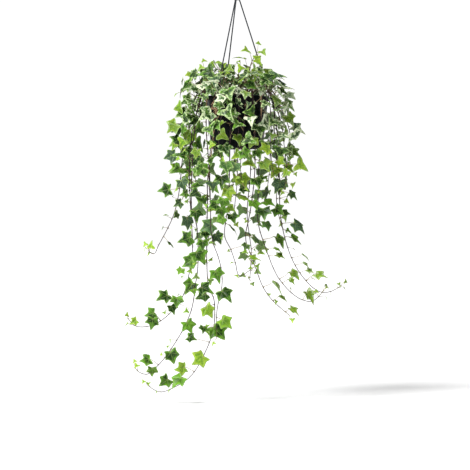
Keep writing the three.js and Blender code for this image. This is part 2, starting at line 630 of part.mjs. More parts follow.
// Where a leaf stands and how it turns, as one of several tries that grow wilder and smaller
function leafPose(vine, number, stations, place, attempt) {
  const { index, point, high, left, spot } = stations[place];
  const fixed = (channel) => 2 * draw(number, index, 0, channel) - 1;
  const wild = 1 + 0.16 * attempt;
  const jitter = (channel, amount) => new THREE.Vector3(
    2 * draw(number, index, attempt, channel) - 1,
    2 * draw(number, index, attempt, channel + 1) - 1,
    2 * draw(number, index, attempt, channel + 2) - 1,
  ).multiplyScalar(amount * wild);
  const shrink = 1 - 0.03 * Math.max(0, attempt - 5);

  if (spot) {
    const [x, drop, listedSize, tip, turned] = spot;
    const forwardBy = LISTED_DEPTHS[attempt % LISTED_DEPTHS.length];
    const junction = new THREE.Vector3(x, point.y - forwardBy, RIM_Z - drop);
    if (attempt >= LISTED_DEPTHS.length) junction.add(jitter(3, 2.5));
    const tipWay = around(1, tip - 90, 0);
    const drift = new THREE.Vector3(tipWay.x, 0, tipWay.y);
    const edgeWay = new THREE.Vector3(-tipWay.y, 0, tipWay.x);
    const turn = THREE.MathUtils.degToRad(turned);
    const face = blend(
      [FRONT, Math.cos(turn)], [edgeWay, Math.sin(turn)], [UP, 0.5 + 0.35 * fixed(1)],
      [jitter(6, 0.28), 1],
    );
    return posed(point, junction, face, drift, { size: listedSize * shrink, number, index });
  }

  const along = alongStem(stations, place);
  const [turn, lean] = vine.face;
  const low = around(1, turn, lean).normalize();
  const face = blend([low, 1 - high], [around(0.8, turn, 0.75).normalize(), high]).normalize();
  const side = index % 2 === 0 ? 1 : -1;
  const across = along.clone().cross(face).normalize();
  const room = 1 - between(RIM_Z - point.z, 40, 260);
  const young = THREE.MathUtils.clamp(0.38 + left / 75, 0.38, 1);
  const size = mix(LEAF_SIZE_LOW, LEAF_SIZE_HIGH, room) * (1 + 0.2 * fixed(1)) * young * shrink;
  const stalkLength = mix(22, 32, high) * (1 + 0.25 * fixed(2)) * (0.35 + 0.65 * young);
  const stalk = blend(
    [face, 0.75], [across, 0.75 * side], [UP, 0.15], [jitter(3, 0.4), 1],
    [along, left < 1 ? 2 : 0.1],
  ).normalize();
  const junction = blend([point, 1], [stalk, stalkLength]);
  const drift = blend(
    [DOWN, 0.9], [across, 0.55 * side], [stalk, 0.3], [jitter(9, 0.45), 1],
  );
  const turnedFace = blend([face, 1], [jitter(6, 0.65), 1]);
  const simple = draw(number, index, 0, 3) < THREE_LOBED_SHARE;
  return posed(point, junction, turnedFace, drift, { size, simple, number, index });
}

// The rim of a blade, counter-clockwise from above: small leaves and some others have three lobes,
// each lobe's place varies a little, and the tips droop
function bladeRim({ junction, normal, forward, right, size, simple, number, index }) {
  const half = simple || size < SMALL_LEAF_SIZE ? THREE_LOBES : FIVE_LOBES;
  const mirrored = half.slice(0, -1).reverse().map(([angle, share]) => [-angle, share]);
  const droop = 0.16 + 0.14 * draw(number, index, 0, 12);
  return [...half, ...mirrored].map(([angle, share], place) => {
    const turn = THREE.MathUtils.degToRad(angle + 9 * (draw(number, index, 0, 20 + place) - 0.5));
    const reach = share * (1 + 0.18 * (draw(number, index, 0, 40 + place) - 0.5));
    return blend(
      [junction, 1],
      [forward, size * reach * Math.cos(turn)],
      [right, size * reach * Math.sin(turn)],
      [normal, -size * droop * reach * reach],
    );
  });
}

// A three-sided section of a leaf stalk: upper left, upper right and lower
function stalkSection(centre, right, upper, radius) {
  return [
    blend([centre, 1], [right, -0.87 * radius], [upper, 0.5 * radius]),
    blend([centre, 1], [right, 0.87 * radius], [upper, 0.5 * radius]),
    blend([centre, 1], [upper, -radius]),
  ];
}

// Adds points to a surface that is being built, and gives their places in it
function addPoints(surface, points) {
  const first = surface.points.length;
  surface.points.push(...points);
  return points.map((_, index) => first + index);
}

// The turn of a three-cornered ring that brings its corners nearest to those of another
function matched(surface, ring, other) {
  const centre = (corners) => blend(...corners.map((corner) => [surface.points[corner], 1 / 3]));
  const shift = centre(other).sub(centre(ring));
  const turns = [0, 1, 2].map((turn) => ring.map((_, side) => ring[(side + turn) % 3]));
  const apart = (turned) => turned.reduce((sum, corner, side) => (
    sum + surface.points[corner].clone().add(shift)
      .distanceToSquared(surface.points[other[side]])
  ), 0);
  return turns.reduce((best, turned) => (apart(turned) < apart(best) ? turned : best));
}

// Adds a leaf to a surface: a blade that is thickest over its stalk, sharp at its rim, and closed
// over the stalk's end, with the stalk running back to three corners of what it grows from
function growLeaf(surface, pose, corners) {
  const { back, junction, normal, forward, right, size } = pose;
  const notch = blend([junction, 1], [forward, -0.1 * size]);
  const bend = blend([back, 1], [forward, -1]).normalize();
  const upper = bend.clone().cross(right).normalize();
  const [top, bottom] = addPoints(surface, [
    blend([junction, 1], [normal, BLADE_HALF_THICKNESS]),
    blend([junction, 1], [normal, -BLADE_HALF_THICKNESS]),
  ]);
  const stalkEnd = addPoints(surface, stalkSection(notch, right, upper, STALK_RADIUS));
  const [leftEnd, rightEnd, lowEnd] = stalkEnd;
  const [leftRoot, rightRoot, lowRoot] = matched(surface, corners, stalkEnd);
  const rim = addPoints(surface, bladeRim(pose));
  const first = rim[0];
  const last = rim[rim.length - 1];
  surface.faces.push(
    [top, rightEnd, first], [top, last, leftEnd], [top, leftEnd, rightEnd],
    [bottom, first, lowEnd], [bottom, lowEnd, last],
    [first, rightEnd, lowEnd], [leftEnd, last, lowEnd],
    [rightEnd, leftEnd, leftRoot], [rightEnd, leftRoot, rightRoot],
    [leftEnd, lowEnd, lowRoot], [leftEnd, lowRoot, leftRoot],
    [lowEnd, rightEnd, rightRoot], [lowEnd, rightRoot, lowRoot],
  );
  for (let place = first; place < last; place++) {
    surface.faces.push([top, place, place + 1], [bottom, place + 1, place]);
  }
}

// A leaf by itself, whose stalk starts with a radius at a distance from the middle of its stem
function looseLeaf(pose, start, radius) {
  const { root, back, right } = pose;
  const surface = { points: [], faces: [] };
  const rootRight = blend([right, 1], [back, -right.dot(back)]).normalize();
  const rootUpper = back.clone().cross(rootRight);
  const centre = blend([root, 1], [back, -start]);
  const corners = addPoints(surface, stalkSection(centre, rootRight, rootUpper, radius));
  const [left, other, low] = corners;
  surface.faces.push([other, left, low]);
  growLeaf(surface, pose, corners);
  return solidFromFaces(surface.points, surface.faces);
}

// A three-cornered ring round a stem, whose first side faces the given way
function stemRing(centre, along, facing, radius) {
  const third = along.clone().cross(facing);
  return [-60, 60, 180].map((degrees) => {
    const angle = THREE.MathUtils.degToRad(degrees);
    return blend(
      [centre, 1],
      [facing, radius * Math.cos(angle)],
      [third, radius * Math.sin(angle)],
    );
  });
}

function joinRings(surface, lower, upper, firstFace) {
  for (let side = 0; side < 3; side++) {
    const next = (side + 1) % 3;
    if (side >= firstFace) surface.faces.push([lower[side], lower[next], upper[next]]);
    surface.faces.push([lower[side], upper[next], upper[side]]);
  }
}

// A vine as one closed surface: its stem turns a side to each leaf, and the leaf's stalk grows out
// of a corner of that side
function growVine({ stations, radii, poses, firstSide }) {
  const surface = { points: [], faces: [] };
  const last = stations.length - 1;
  let facing = firstSide;
  let below = null;
  stations.forEach(({ point }, place) => {
    const along = alongStem(stations, place);
    const pose = poses[place];
    const grows = pose && place < last;
    facing = square(grows ? pose.back.clone().negate() : facing, along);
    const radius = radii[place];
    const ringAt = (offset) => (
      addPoints(surface, stemRing(blend([point, 1], [along, offset]), along, facing, radius))
    );
    const ring = ringAt(grows ? -NODE_HALF_LENGTH : 0);
    if (below) joinRings(surface, below, matched(surface, ring, below), 0);
    else surface.faces.push([ring[0], ring[2], ring[1]]);
    below = ring;
    if (grows) {
      below = ringAt(NODE_HALF_LENGTH);
      joinRings(surface, ring, below, 1);
      growLeaf(surface, pose, [ring[0], ring[1], below[1]]);
    }
  });
  if (poses[last]) growLeaf(surface, poses[last], below);
  else surface.faces.push(below);
  return solidFromFaces(surface.points, surface.faces);
}

// Solids that leaves keep clear of, each with its bounding box
function obstacle(solid) {
  const { min, max } = solid.boundingBox();
  const box = new THREE.Box3(new THREE.Vector3(...min), new THREE.Vector3(...max));
  return { solid, box: box.expandByScalar(CLEARANCE) };
}

function isClear(candidate, obstacles) {
  return obstacles.every(({ solid, box }) => (
    !box.intersectsBox(candidate.box) || candidate.solid.minGap(solid, 2 * CLEARANCE) > CLEARANCE
  ));
}

// Stems, each with the room it takes and its hole in the soil
const stems = VINES.map((vine, index) => {
  const number = index + 1;
  const stations = stemStations(vine, number);
  const points = stations.map(({ point }) => point);
  const radii = points.map((_, place) => (
    mix(STEM_RADIUS, STEM_TIP_RADIUS, place / (points.length - 1))
  ));
  const firstSide = around(1, vine.azimuth + 90, 0);
  const roomRadii = radii.map((radius) => radius + 0.4);
  const room = obstacle(tube(points, roomRadii, 6, firstSide));
  const holeRings = [0, 1].map((place) => {
    const along = alongStem(stations, place);
    const centre = blend([points[place], 1], [along, place === 0 ? -HOLE_CLEARANCE : 0]);
    return stemRing(centre, along, square(firstSide, along), radii[place] + HOLE_CLEARANCE);
  });
  const poses = points.map(() => null);
  return { vine, number, stations, radii, firstSide, room, hole: loft(holeRings), poses };
});

const pot = makePot();
const soil = makeSoil().subtract(wasm.Manifold.union(stems.map(({ hole }) => hole)));
const hook = makeHook();
const strands = EAR_AZIMUTHS.map(makeStrand);
const obstacles = [pot, soil, hook, ...strands].map(obstacle);
obstacles.push(...stems.map(({ room }) => room));

// Leaves are placed one from each stem in turn, so that no vine takes all the room. A leaf that
// finds no room in any of its tries doesn't grow.
const longest = Math.max(...stems.map(({ stations }) => stations.length));
for (let place = 2; place < longest; place++) {
  for (const stem of stems.filter(({ stations }) => stations[place]?.leafy)) {
    const others = obstacles.filter((other) => other !== stem.room);
    for (let attempt = 0; attempt < ATTEMPTS && !stem.poses[place]; attempt++) {
      const pose = leafPose(stem.vine, stem.number, stem.stations, place, attempt);
      if (!pose.valid) continue;
      const candidate = obstacle(looseLeaf(pose, 0, STALK_BASE_RADIUS));
      const outer = obstacle(looseLeaf(pose, STALK_START, STALK_RADIUS));
      if (isClear(outer, [stem.room]) && isClear(candidate, others)) {
        obstacles.push(candidate);
        stem.poses[place] = pose;
      }
    }
  }
}

// The named pieces
const part = new THREE.Group();

function addPiece(name, solid, color, roughness) {
  const material = new THREE.MeshStandardMaterial({ color, roughness, metalness: 0 });
  const mesh = new THREE.Mesh(geometryFromSolid(solid), material);
  mesh.name = name;
  part.add(mesh);
  return mesh;
}

addPiece("pot", pot, 0x17191b, 0.4);
addPiece("potting_soil", soil, 0x2b1f17, 0.95);
addPiece("hanger_hook", hook, 0x3a3f45, 0.45);
["right", "back", "left"].forEach((name, index) => {
  addPiece("hanger_strand_" + name, strands[index], 0x3a3f45, 0.45);
});
for (const stem of stems) addPiece(stem.vine.name, growVine(stem), 0x7f9f5c, 0.5);

export default part;
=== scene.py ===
import math

import bmesh
import bpy
import numpy as np
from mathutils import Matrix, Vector


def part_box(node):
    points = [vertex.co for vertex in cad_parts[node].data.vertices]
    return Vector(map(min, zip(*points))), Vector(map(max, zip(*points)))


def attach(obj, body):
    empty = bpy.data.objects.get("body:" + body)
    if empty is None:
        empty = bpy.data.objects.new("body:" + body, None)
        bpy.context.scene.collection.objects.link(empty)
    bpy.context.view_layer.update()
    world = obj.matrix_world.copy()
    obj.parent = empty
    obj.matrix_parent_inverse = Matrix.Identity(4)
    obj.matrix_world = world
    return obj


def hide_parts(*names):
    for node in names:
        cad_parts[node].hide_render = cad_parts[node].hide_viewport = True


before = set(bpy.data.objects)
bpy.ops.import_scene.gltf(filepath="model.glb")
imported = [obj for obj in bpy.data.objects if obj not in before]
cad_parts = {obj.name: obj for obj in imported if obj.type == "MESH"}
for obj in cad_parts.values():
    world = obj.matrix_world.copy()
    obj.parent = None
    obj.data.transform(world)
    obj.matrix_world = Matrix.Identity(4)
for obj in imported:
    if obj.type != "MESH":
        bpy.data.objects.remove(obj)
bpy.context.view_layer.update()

MM = 0.001
UP = np.array([0, 0, 1.0])
WHITE = (1, 1, 1, 1)

# Camera: the photograph's frame is square, and its height and middle are given at the pot's axis
PICTURE_SIDE = 1.0857
PICTURE_MIDDLE = (-0.0046, -0.5897)
CAMERA_DISTANCE = 5.0
CAMERA_CLIP = 200
SENSOR_WIDTH = 36.0

# Studio: the surroundings are white about the horizon and dimmer overhead. They dim between two
# edges, which are given as the sine of the height over the horizon.
FLOOR_Z = -0.972
FLOOR_RADIUS = 60.0
FLOOR_SIDES = 96
HORIZON_LIGHT = 1.05
OVERHEAD_LIGHT = 0.10
LIGHT_EDGE = 0.11
DARK_EDGE = 0.25
FLOOR_GLOW = 0.32
SUN_STRENGTH = 4.6
SUN_SOFTNESS = 24
SUN_WAY = Vector((0.75, 0.80, -1.0))

# Pot and hanger, with the sizes of the solids. A drop is a height below the rim.
RIM_Z = -0.270
RIM_RADIUS = 0.075
RIM_BAND_HEIGHT = 0.010
LIP_WIDTH = 0.004
WALL_TOP_RADIUS = 0.0715
BASE_RADIUS = 0.060
POT_HEIGHT = 0.120
POT_WALL = 0.002
POT_FOOT = 0.0015
ROUNDING = 0.0012
POT_SIDES = 144
DRAIN_HOLES = 6
DRAIN_HOLE_RADIUS = 0.004
DRAIN_HOLE_SIDES = 28
DRAIN_CIRCLE_RADIUS = 0.042
EAR_AZIMUTHS = {"right": 352.5, "back": 112.5, "left": 232.5}
EAR_WIDTH = 0.014
EAR_REACH = 0.0845
EAR_TOP_DROP = 0.003
EAR_THICKNESS = 0.003
SLOT_RADIUS = 0.079
STRAND_TOP_RADIUS = 0.0036
STRAND_TOP_Z = -0.040
STRAND_RADIUS = 0.0015
BEAD_RADIUS = 0.0022
PLATE_WIDTH = 0.008
PLATE_THICKNESS = 0.0024
PLATE_LENGTH = 0.045
PLATE_ROUNDING = 0.0016
BARB_WIDTH = 0.0115
BARB_LENGTH = 0.009
HUB_RADIUS = 0.0077
HUB_TOP_Z = -0.0355
HUB_BOTTOM_Z = -0.047
HUB_SIDES = 64
HOOK_WIRE_RADIUS = 0.003
HOOK_BEND_RADIUS = 0.015
HOOK_OPEN_ANGLE = 200
HOOK_STEP = 0.0015
HOOK_SIDES = 24
HANGER_CLEARANCE = 0.00035

# Soil
SOIL_DROP = 0.012
SOIL_DOME = 0.005
SOIL_RINGS = 26
SOIL_SIDES = 120
SOIL_ROUGHNESS = 0.0011
SOIL_CRUMBS = 900
CRUMB_SIZES = (0.0007, 0.0026)
GRAIN_EVERY = 12
SOIL_SEED = 7

# Reading the solids: a blade's two apexes lie this far apart and share at least this many
# neighbours, a stem's rings have three corners, and the two rings of a joint lie this close
APEX_GAP = 1.6 * MM
APEX_SLACK = 0.01 * MM
APEX_SHARED = 5
RING_CORNERS = 3
JOINT_GAP = 3.2 * MM
WELD_GAP = 0.02 * MM

# Numbers of the two materials that each vine has
LEAF = 0
STEM = 1

# Stems: a round one of the same look is slimmer than one with three corners
STEM_SHARE = 0.72
STEM_SIDES = 9
STEM_STEP = 4 * MM
JOINT_SWELL = 0.22
JOINT_REACH = 0.12
TENDER_SHARE = 0.7
TENDER_REACH = 0.03
USUAL_TAN = 0.3
TAN_FADE = 0.03
TAN_DROP = 0.012
TAN_DROPS = {"vine_front_1": 0.20, "vine_left_4": 0.07, "vine_right_1": 0.06}

# What grows on stems besides leaves. The sideways directions turn their round sections.
BUD_LENGTH = 3.2 * MM
BUD_RADIUS = 0.8 * MM
BUD_SIDES = 6
ROOTLET_CHANCE = 0.35
ROOTLET_COUNTS = (2, 5)
ROOTLET_LENGTHS = (3 * MM, 6 * MM)
ROOTLET_RADII = (0.35 * MM, 0.28 * MM, 0.12 * MM)
ROOTLET_SIDES = 4
ROOTLET_SIDEWAYS = (0.2, 0.3, 0.9)
TANGLED_VINE = "vine_front_1"
TANGLE_SEED = 11
TANGLE_DROPS = (-0.004, 0.062)
TANGLE_TWIGS = 7
TWIG_RADIUS = 0.75 * MM
TWIG_STEP = 2 * MM
TWIG_SIDES = 6
TWIG_OUTWARD = (0.002, 0.009)
TWIG_ASIDE = (-0.013, 0.013)
TWIG_UPWARD = (-0.004, 0.004)
TWIG_SIDEWAYS = (0.3, 0.9, 0.3)

# Stalks, with the radius at each of the places that they pass
STALK_RADII = (1.0 * MM, 0.78 * MM, 0.52 * MM, 0.56 * MM, 0.2 * MM)
STALK_SIDES = 7
STALK_STEP = 3 * MM
STALK_BOW = 0.05

# Blades. Bulge and roundness go from 0 to 1.
BLADE_THICKNESS = 0.42 * MM
EDGE_THICKNESS = 0.22 * MM
VEIN_DEPTH = 0.35 * MM
BLADE_RINGS = (0.16, 0.34, 0.52, 0.70, 0.86, 1.0)
EDGE_STEPS = 6
HANDLE_SHARE = 0.36
LOBE_BULGE = 0.28
LOBE_ROUNDNESS = 0.12
LOW_LOBE_ROUNDNESS = 0.75
WAVE_COUNTS = (4, 8)
PATTERN_SPREAD = 900

# Lengths on a blade, as shares of its size. It takes a ball of room, forward of its stalk.
NOTCH = 0.1
FOLDS = (0.05, 0.42)
WAVES = (0.012, 0.045)
VEIN_WIDTH = 0.045
PILLOW_HEIGHT = 0.022
PILLOW_WIDTH = 0.22
ROOM_FORWARD = 0.3
ROOM_REACH = 0.6
LEAFLET_ROOM = 0.5

# Leaflets fill up the crown and the sides of the pot, and are few and small lower down. High and
# low ones have a number of tries at each joint and a range of sizes, and lobes an angle and reach.
DENSE_DROP = POT_HEIGHT + 0.03
HIGH_LEAFLETS = (8, (0.012, 0.024))
LOW_LEAFLETS = (1, (0.006, 0.011))
LOW_CHANCE = 0.55
LEAFLET_RINGS = (0.3, 0.65, 1.0)
LEAFLET_EDGE_STEPS = 3
LEAFLET_STALKS = (0.009, 0.019)
LEAFLET_DROOPS = (0.1, 0.35)
LEAFLET_VARIETY = (0.85, 1.15)
LEAFLET_LOBES = ((102, 0.68), (44, 0.44), (0, 1.0))

# Where leaves change colour: drops, places to the right and sizes, from and to
HIGH_DROPS = (-0.01, 0.20)
TOP_DROPS = (-0.045, -0.005)
POT_DROPS = (0.10, 0.26)
PALE_DROPS = (-0.03, 0.09)
PALE_DROP_ON_RIGHT = 0.11
SAGE_DROPS = (0.28, 0.40)
LOW_RIGHT_DROPS = (0.30, 0.40)
VIVID_DROPS = (0.44, 0.56)
RIGHT_PLACES = (0.01, 0.05)
SMALL_SIZES = (0.008, 0.019)

# How cream leaves are and how many are sage or lime, from 0 to 1. A rarity is a power that leaves
# few of the highest. Young leaves grow within a reach of a stem's tip.
CREAM = 0.04
CREAM_SPREAD = 0.06
POT_CREAM = 0.05
POT_CREAM_SPREAD = 0.14
CROWN_CREAM = 0.85
CREAM_RARITY = 1.8
LOW_RIGHT_CREAM = 0.35
LOW_RIGHT_YOUTH = 0.4
SAGE_CHANCE = 0.3
LIME_CHANCE = 0.11
LIME_YOUTH = (0.35, 0.7)
TONE_RARITY = 1.7
YOUNG_REACH = 0.07
SHOOT_YOUNG_REACH = 0.03
LIME_SHOOTS = {"shoot_right": 0.16, "shoot_far_left": 0.11}

# The palest leaves, by x and z. They are looked for before the pot, and their depth counts less.
FRONT_Y = -0.14
DEPTH_WEIGHT = 0.35
PALE_LEAVES = (
    (0.005, -0.255), (-0.018, -0.227), (-0.035, -0.246), (0.046, -0.232), (0.042, -0.269),
    (-0.074, -0.228), (0.043, -0.324),
)

# Each leaf and joint has its own random numbers, which start from these
SEED = 20417
JOINT_SEEDS = 1000


def eased(value, low, high):
    """How far a value has come from low to high, eased at both ends."""
    share = min(max((value - low) / (high - low), 0.0), 1.0)
    return share * share * (3 - 2 * share)


def unit(vector):
    return vector / np.linalg.norm(vector)


def around(radius, azimuth, z):
    """The point at a radius, an azimuth in degrees and a height."""
    angle = math.radians(azimuth)
    return np.array([radius * math.cos(angle), radius * math.sin(angle), z])


# Materials


class Graph:
    """A node tree in the making: adds nodes and joins them."""

    def __init__(self, tree):
        self.tree = tree

    def node(self, kind, inputs=(), **settings):
        made = self.tree.nodes.new("ShaderNode" + kind)
        for name, value in settings.items():
            setattr(made, name, value)
        for socket, value in dict(inputs).items():
            self.put(value, made.inputs[socket])
        return made

    def put(self, value, socket):
        if isinstance(value, bpy.types.NodeSocket):
            self.tree.links.new(value, socket)
        else:
            socket.default_value = value

    def math(self, operation, first, second=0.0, clamp=False):
        made = self.node("Math", {0: first, 1: second}, operation=operation, use_clamp=clamp)
        return made.outputs[0]

    def plus(self, first, second, clamp=False):
        return self.math("ADD", first, second, clamp)

    def times(self, first, second):
        return self.math("MULTIPLY", first, second)

    def range(self, value, low, high, to_low=0.0, to_high=1.0):
        inputs = {"Value": value, 1: low, 2: high, 3: to_low, 4: to_high}
        made = self.node("MapRange", inputs, interpolation_type="SMOOTHSTEP")
        return made.outputs[0]

    def mix(self, factor, first, second):
        made = self.node("Mix", {0: factor, 6: first, 7: second}, data_type="RGBA")
        return made.outputs[2]

    def attribute(self, name):
        """The three numbers of a vector attribute."""
        return self.node("SeparateXYZ", {0: self.vector(name)}).outputs

    def vector(self, name):
        return self.node("Attribute", attribute_name=name).outputs["Vector"]

    def place(self):
        return self.node("TexCoord").outputs["Object"]

    def noise(self, place, scale, detail=2.0, roughness=0.5):
        inputs = {"Vector": place, "Scale": scale, "Detail": detail, "Roughness": roughness}
        return self.node("TexNoise", inputs).outputs["Fac"]

    def height(self, vector):
        return self.node("SeparateXYZ", {0: vector}).outputs["Z"]

    def cells(self, place, scale):
        """A number that is the same all over each small patch."""
        made = self.node("TexVoronoi", {"Vector": place, "Scale": scale})
        return self.node("SeparateColor", {0: made.outputs["Color"]}).outputs[0]

    def spread(self, value, amount):
        """A share from 0 to 1 as a number from minus to plus an amount."""
        return self.times(self.math("SUBTRACT", value, 0.5), 2 * amount)


class Shader(Graph):
    """A material in the making."""

    def __init__(self, name, roughness, specular):
        self.material = bpy.data.materials.new(name)
        self.material.use_nodes = True
        super().__init__(self.material.node_tree)
        self.surface = self.tree.nodes["Principled BSDF"].inputs
        self.rough(roughness)
        self.put(specular, self.surface["Specular IOR Level"])

    def colour(self, value):
        self.put(value, self.surface["Base Color"])

    def rough(self, value):
        self.put(value, self.surface["Roughness"])

    def bump(self, height, strength, distance):
        made = self.node("Bump", {"Height": height, "Strength": strength, "Distance": distance})
        self.put(made.outputs["Normal"], self.surface["Normal"])


def leaf_green(shader, place, inset, tone, vivid):
    """Deep green, and fresher toward the rim, in broad patches and all over a vivid leaf."""
    deep = (0.005, 0.030, 0.002, 1)
    fresh = (0.130, 0.320, 0.020, 1)
    patches = shader.noise(place, 0.075)
    lively = shader.plus(shader.times(tone, 0.85), shader.times(vivid, 0.34))
    lively = shader.plus(lively, shader.range(inset, 0.02, 0.24, 0.24, -0.20))
    lively = shader.plus(lively, shader.range(patches, 0.32, 0.68, -0.36, 0.32), clamp=True)
    return shader.mix(lively, deep, fresh)


def leaf_lime(shader, fine, inset):
    """A young leaf's lime, lightest in flecks and along the rim."""
    dark = (0.15, 0.35, 0.010, 1)
    light = (0.57, 0.71, 0.07, 1)
    flecks = shader.range(fine, 0.35, 0.65, 0, 0.5)
    return shader.mix(shader.plus(flecks, shader.range(inset, 0.02, 0.2, 0.5, 0)), dark, light)


def with_margin(shader, green, margin, depth, reach, edge, cover):
    """A leaf's green with a margin laid over it, in to a reach, past which it fades out between
    the two shares of an edge."""
    laid = shader.range(shader.math("DIVIDE", depth, reach), *edge, 1.0, 0.0)
    return shader.mix(shader.times(laid, cover), green, margin)


def with_margins(shader, green, inset, cream, fine, cells):
    """A leaf's green with grey-green patches and a pale margin, both wide on a creamy leaf. How
    far in from the rim a place counts as being is made uneven by flecks and patches."""
    uneven = shader.plus(shader.range(fine, 0.25, 0.75, -0.16, 0.16), shader.spread(cells, 0.13))
    uneven = shader.times(uneven, shader.range(cream, 0.0, 0.4, 0.15, 1.0))
    depth = shader.plus(inset, uneven)
    grey = shader.mix(cells, (0.075, 0.145, 0.060, 1), (0.22, 0.33, 0.19, 1))
    grey_reach = shader.range(cream, 0.0, 1.0, 0.03, 0.36)
    green = with_margin(shader, green, grey, depth, grey_reach, (0.85, 1.2), 0.9)
    whiteness = shader.range(cream, 0.0, 0.75)
    pale = shader.mix(whiteness, (0.26, 0.42, 0.08, 1), (0.72, 0.76, 0.55, 1))
    pale_reach = shader.range(cream, 0.0, 1.0, 0.020, 0.21)
    return with_margin(shader, green, pale, depth, pale_reach, (0.7, 1.25), 0.92)


def leaf_veins(shader, along, across, inset):
    """Where the main veins are, and the side veins that leave them forward."""
    slant = 0.85
    spacing = 3.3
    main = shader.range(across, 0.18, 0.62, 1.0, 0.0)
    slanted = shader.math("SUBTRACT", along, shader.times(across, slant))
    spaced = shader.math("FRACT", shader.math("DIVIDE", slanted, spacing))
    off_line = shader.math("ABSOLUTE", shader.math("SUBTRACT", spaced, 0.5))
    side = shader.range(off_line, 0.03, 0.1, 1.0, 0.0)
    return main, shader.times(side, shader.range(inset, 0.02, 0.12, 0.0, 0.4))


def leaf_material():
    """Blades: a deep green middle breaks up through grey-green patches into a pale margin, both
    wide on the crown's leaves and hardly there below; lime where a leaf is young."""
    shader = Shader("ivy_leaf", 0.42, 0.17)
    place = shader.vector("leaf_place")
    along, across, topside = shader.attribute("leaf_vein")
    inset, sage, vivid = shader.attribute("leaf_zone")
    cream, youth, tone = shader.attribute("leaf_look")
    fine = shader.noise(place, 0.22, 3.0, 0.55)
    cells = shader.cells(place, 0.18)

    green = leaf_green(shader, place, inset, tone, vivid)
    dull = shader.mix(cells, (0.028, 0.064, 0.032, 1), (0.075, 0.138, 0.078, 1))
    green = shader.mix(sage, green, dull)
    green = shader.mix(youth, green, leaf_lime(shader, fine, inset))
    green = with_margins(shader, green, inset, cream, fine, cells)

    main, side = leaf_veins(shader, along, across, inset)
    veins = shader.math("MAXIMUM", shader.times(main, 0.75), side)
    green = shader.mix(veins, green, shader.mix(0.5, green, (0.34, 0.47, 0.15, 1)))
    underside = shader.mix(0.5, green, (0.16, 0.25, 0.11, 1))
    shader.colour(shader.mix(topside, underside, green))
    shader.rough(shader.range(topside, 0.0, 1.0, 0.62, 0.38))

    relief = shader.times(shader.plus(main, side), -0.6)
    shader.bump(shader.plus(relief, shader.noise(place, 1.4)), 0.35, 0.0004)
    return shader.material


def stem_material():
    """Stems: tan and woody by the soil, grey-purple as they hang, and green toward their tips."""
    shader = Shader("ivy_stem", 0.6, 0.12)
    woody, tender, stalk = shader.attribute("stem_look")
    grain = shader.noise(shader.place(), 420.0, 3.0)
    coarse = shader.range(grain, 0.35, 0.65)
    bark = shader.mix(coarse, (0.022, 0.012, 0.015, 1), (0.055, 0.034, 0.036, 1))
    wood = shader.mix(coarse, (0.24, 0.145, 0.080, 1), (0.42, 0.28, 0.17, 1))
    colour = shader.mix(woody, bark, wood)
    colour = shader.mix(tender, colour, (0.17, 0.18, 0.055, 1))
    pale = shader.mix(coarse, (0.17, 0.12, 0.055, 1), (0.29, 0.22, 0.12, 1))
    shader.colour(shader.mix(stalk, colour, pale))
    shader.bump(grain, 0.4, 0.0003)
    return shader.material


def pot_material():
    """Black moulded plastic, a little uneven in its gloss, with dry splashes of soil and a painted
    highlight: a grey band round the top of the lip."""
    shader = Shader("pot_plastic", 0.3, 0.09)
    place = shader.place()
    mottle = shader.noise(place, 60.0, 3.0)
    dust = shader.range(shader.noise(place, 900.0, 4.0, 0.65), 0.68, 0.76, 0.0, 0.4)
    black = shader.mix(mottle, (0.0012, 0.0018, 0.0022, 1), (0.0030, 0.0045, 0.0052, 1))
    # Painted highlight: the top of the lip is lighter grey, where the rim would catch the light
    rim_highlight = shader.range(shader.height(place), RIM_Z - 0.0022, RIM_Z - 0.0006, 0.0, 0.85)
    black = shader.mix(rim_highlight, black, (0.050, 0.062, 0.068, 1))
    shader.colour(shader.mix(dust, black, (0.040, 0.032, 0.025, 1)))
    upward = shader.height(shader.node("NewGeometry").outputs["Normal"])
    matt = shader.range(upward, -0.9, -0.5, 1.0, 0.0)
    shader.rough(shader.math("MAXIMUM", matt, shader.range(mottle, 0.3, 0.7, 0.22, 0.34)))
    shader.bump(shader.noise(place, 1800.0), 0.12, 0.0002)
    return shader.material


def hanger_material():
    """Dark grey moulded plastic with fine drawing marks."""
    shader = Shader("hanger_plastic", 0.42, 0.14)
    place = shader.place()
    streaks = shader.noise(place, 700.0, 3.0)
    shader.colour(shader.mix(streaks, (0.014, 0.018, 0.022, 1), (0.034, 0.040, 0.047, 1)))
    shader.rough(shader.range(streaks, 0.3, 0.7, 0.34, 0.5))
    shader.bump(streaks, 0.15, 0.0002)
    return shader.material


def soil_material():
    """Damp peat with bark, lighter where a crumb has dried."""
    shader = Shader("potting_soil", 0.92, 0.2)
    place = shader.place()
    clods = shader.noise(place, 230.0, 5.0, 0.6)
    lightness = shader.range(clods, 0.35, 0.62)
    peat = shader.mix(lightness, (0.010, 0.006, 0.004, 1), (0.045, 0.026, 0.015, 1))
    dry = shader.range(shader.noise(place, 90.0), 0.6, 0.72)
    shader.colour(shader.mix(dry, peat, (0.085, 0.052, 0.030, 1)))
    shader.bump(clods, 0.8, 0.0012)
    return shader.material


def perlite_material():
    """White expanded grains in the soil."""
    shader = Shader("perlite", 0.9, 0.2)
    pits = shader.noise(shader.place(), 1600.0, 3.0)
    shader.colour(shader.mix(pits, (0.42, 0.40, 0.36, 1), (0.72, 0.70, 0.66, 1)))
    shader.bump(pits, 0.6, 0.0004)
    return shader.material


# Mesh making


def new_object(name, data):
    """An object in the scene with the given mesh, camera or light."""
    made = bpy.data.objects.new(name, data)
    bpy.context.scene.collection.objects.link(made)
    return made


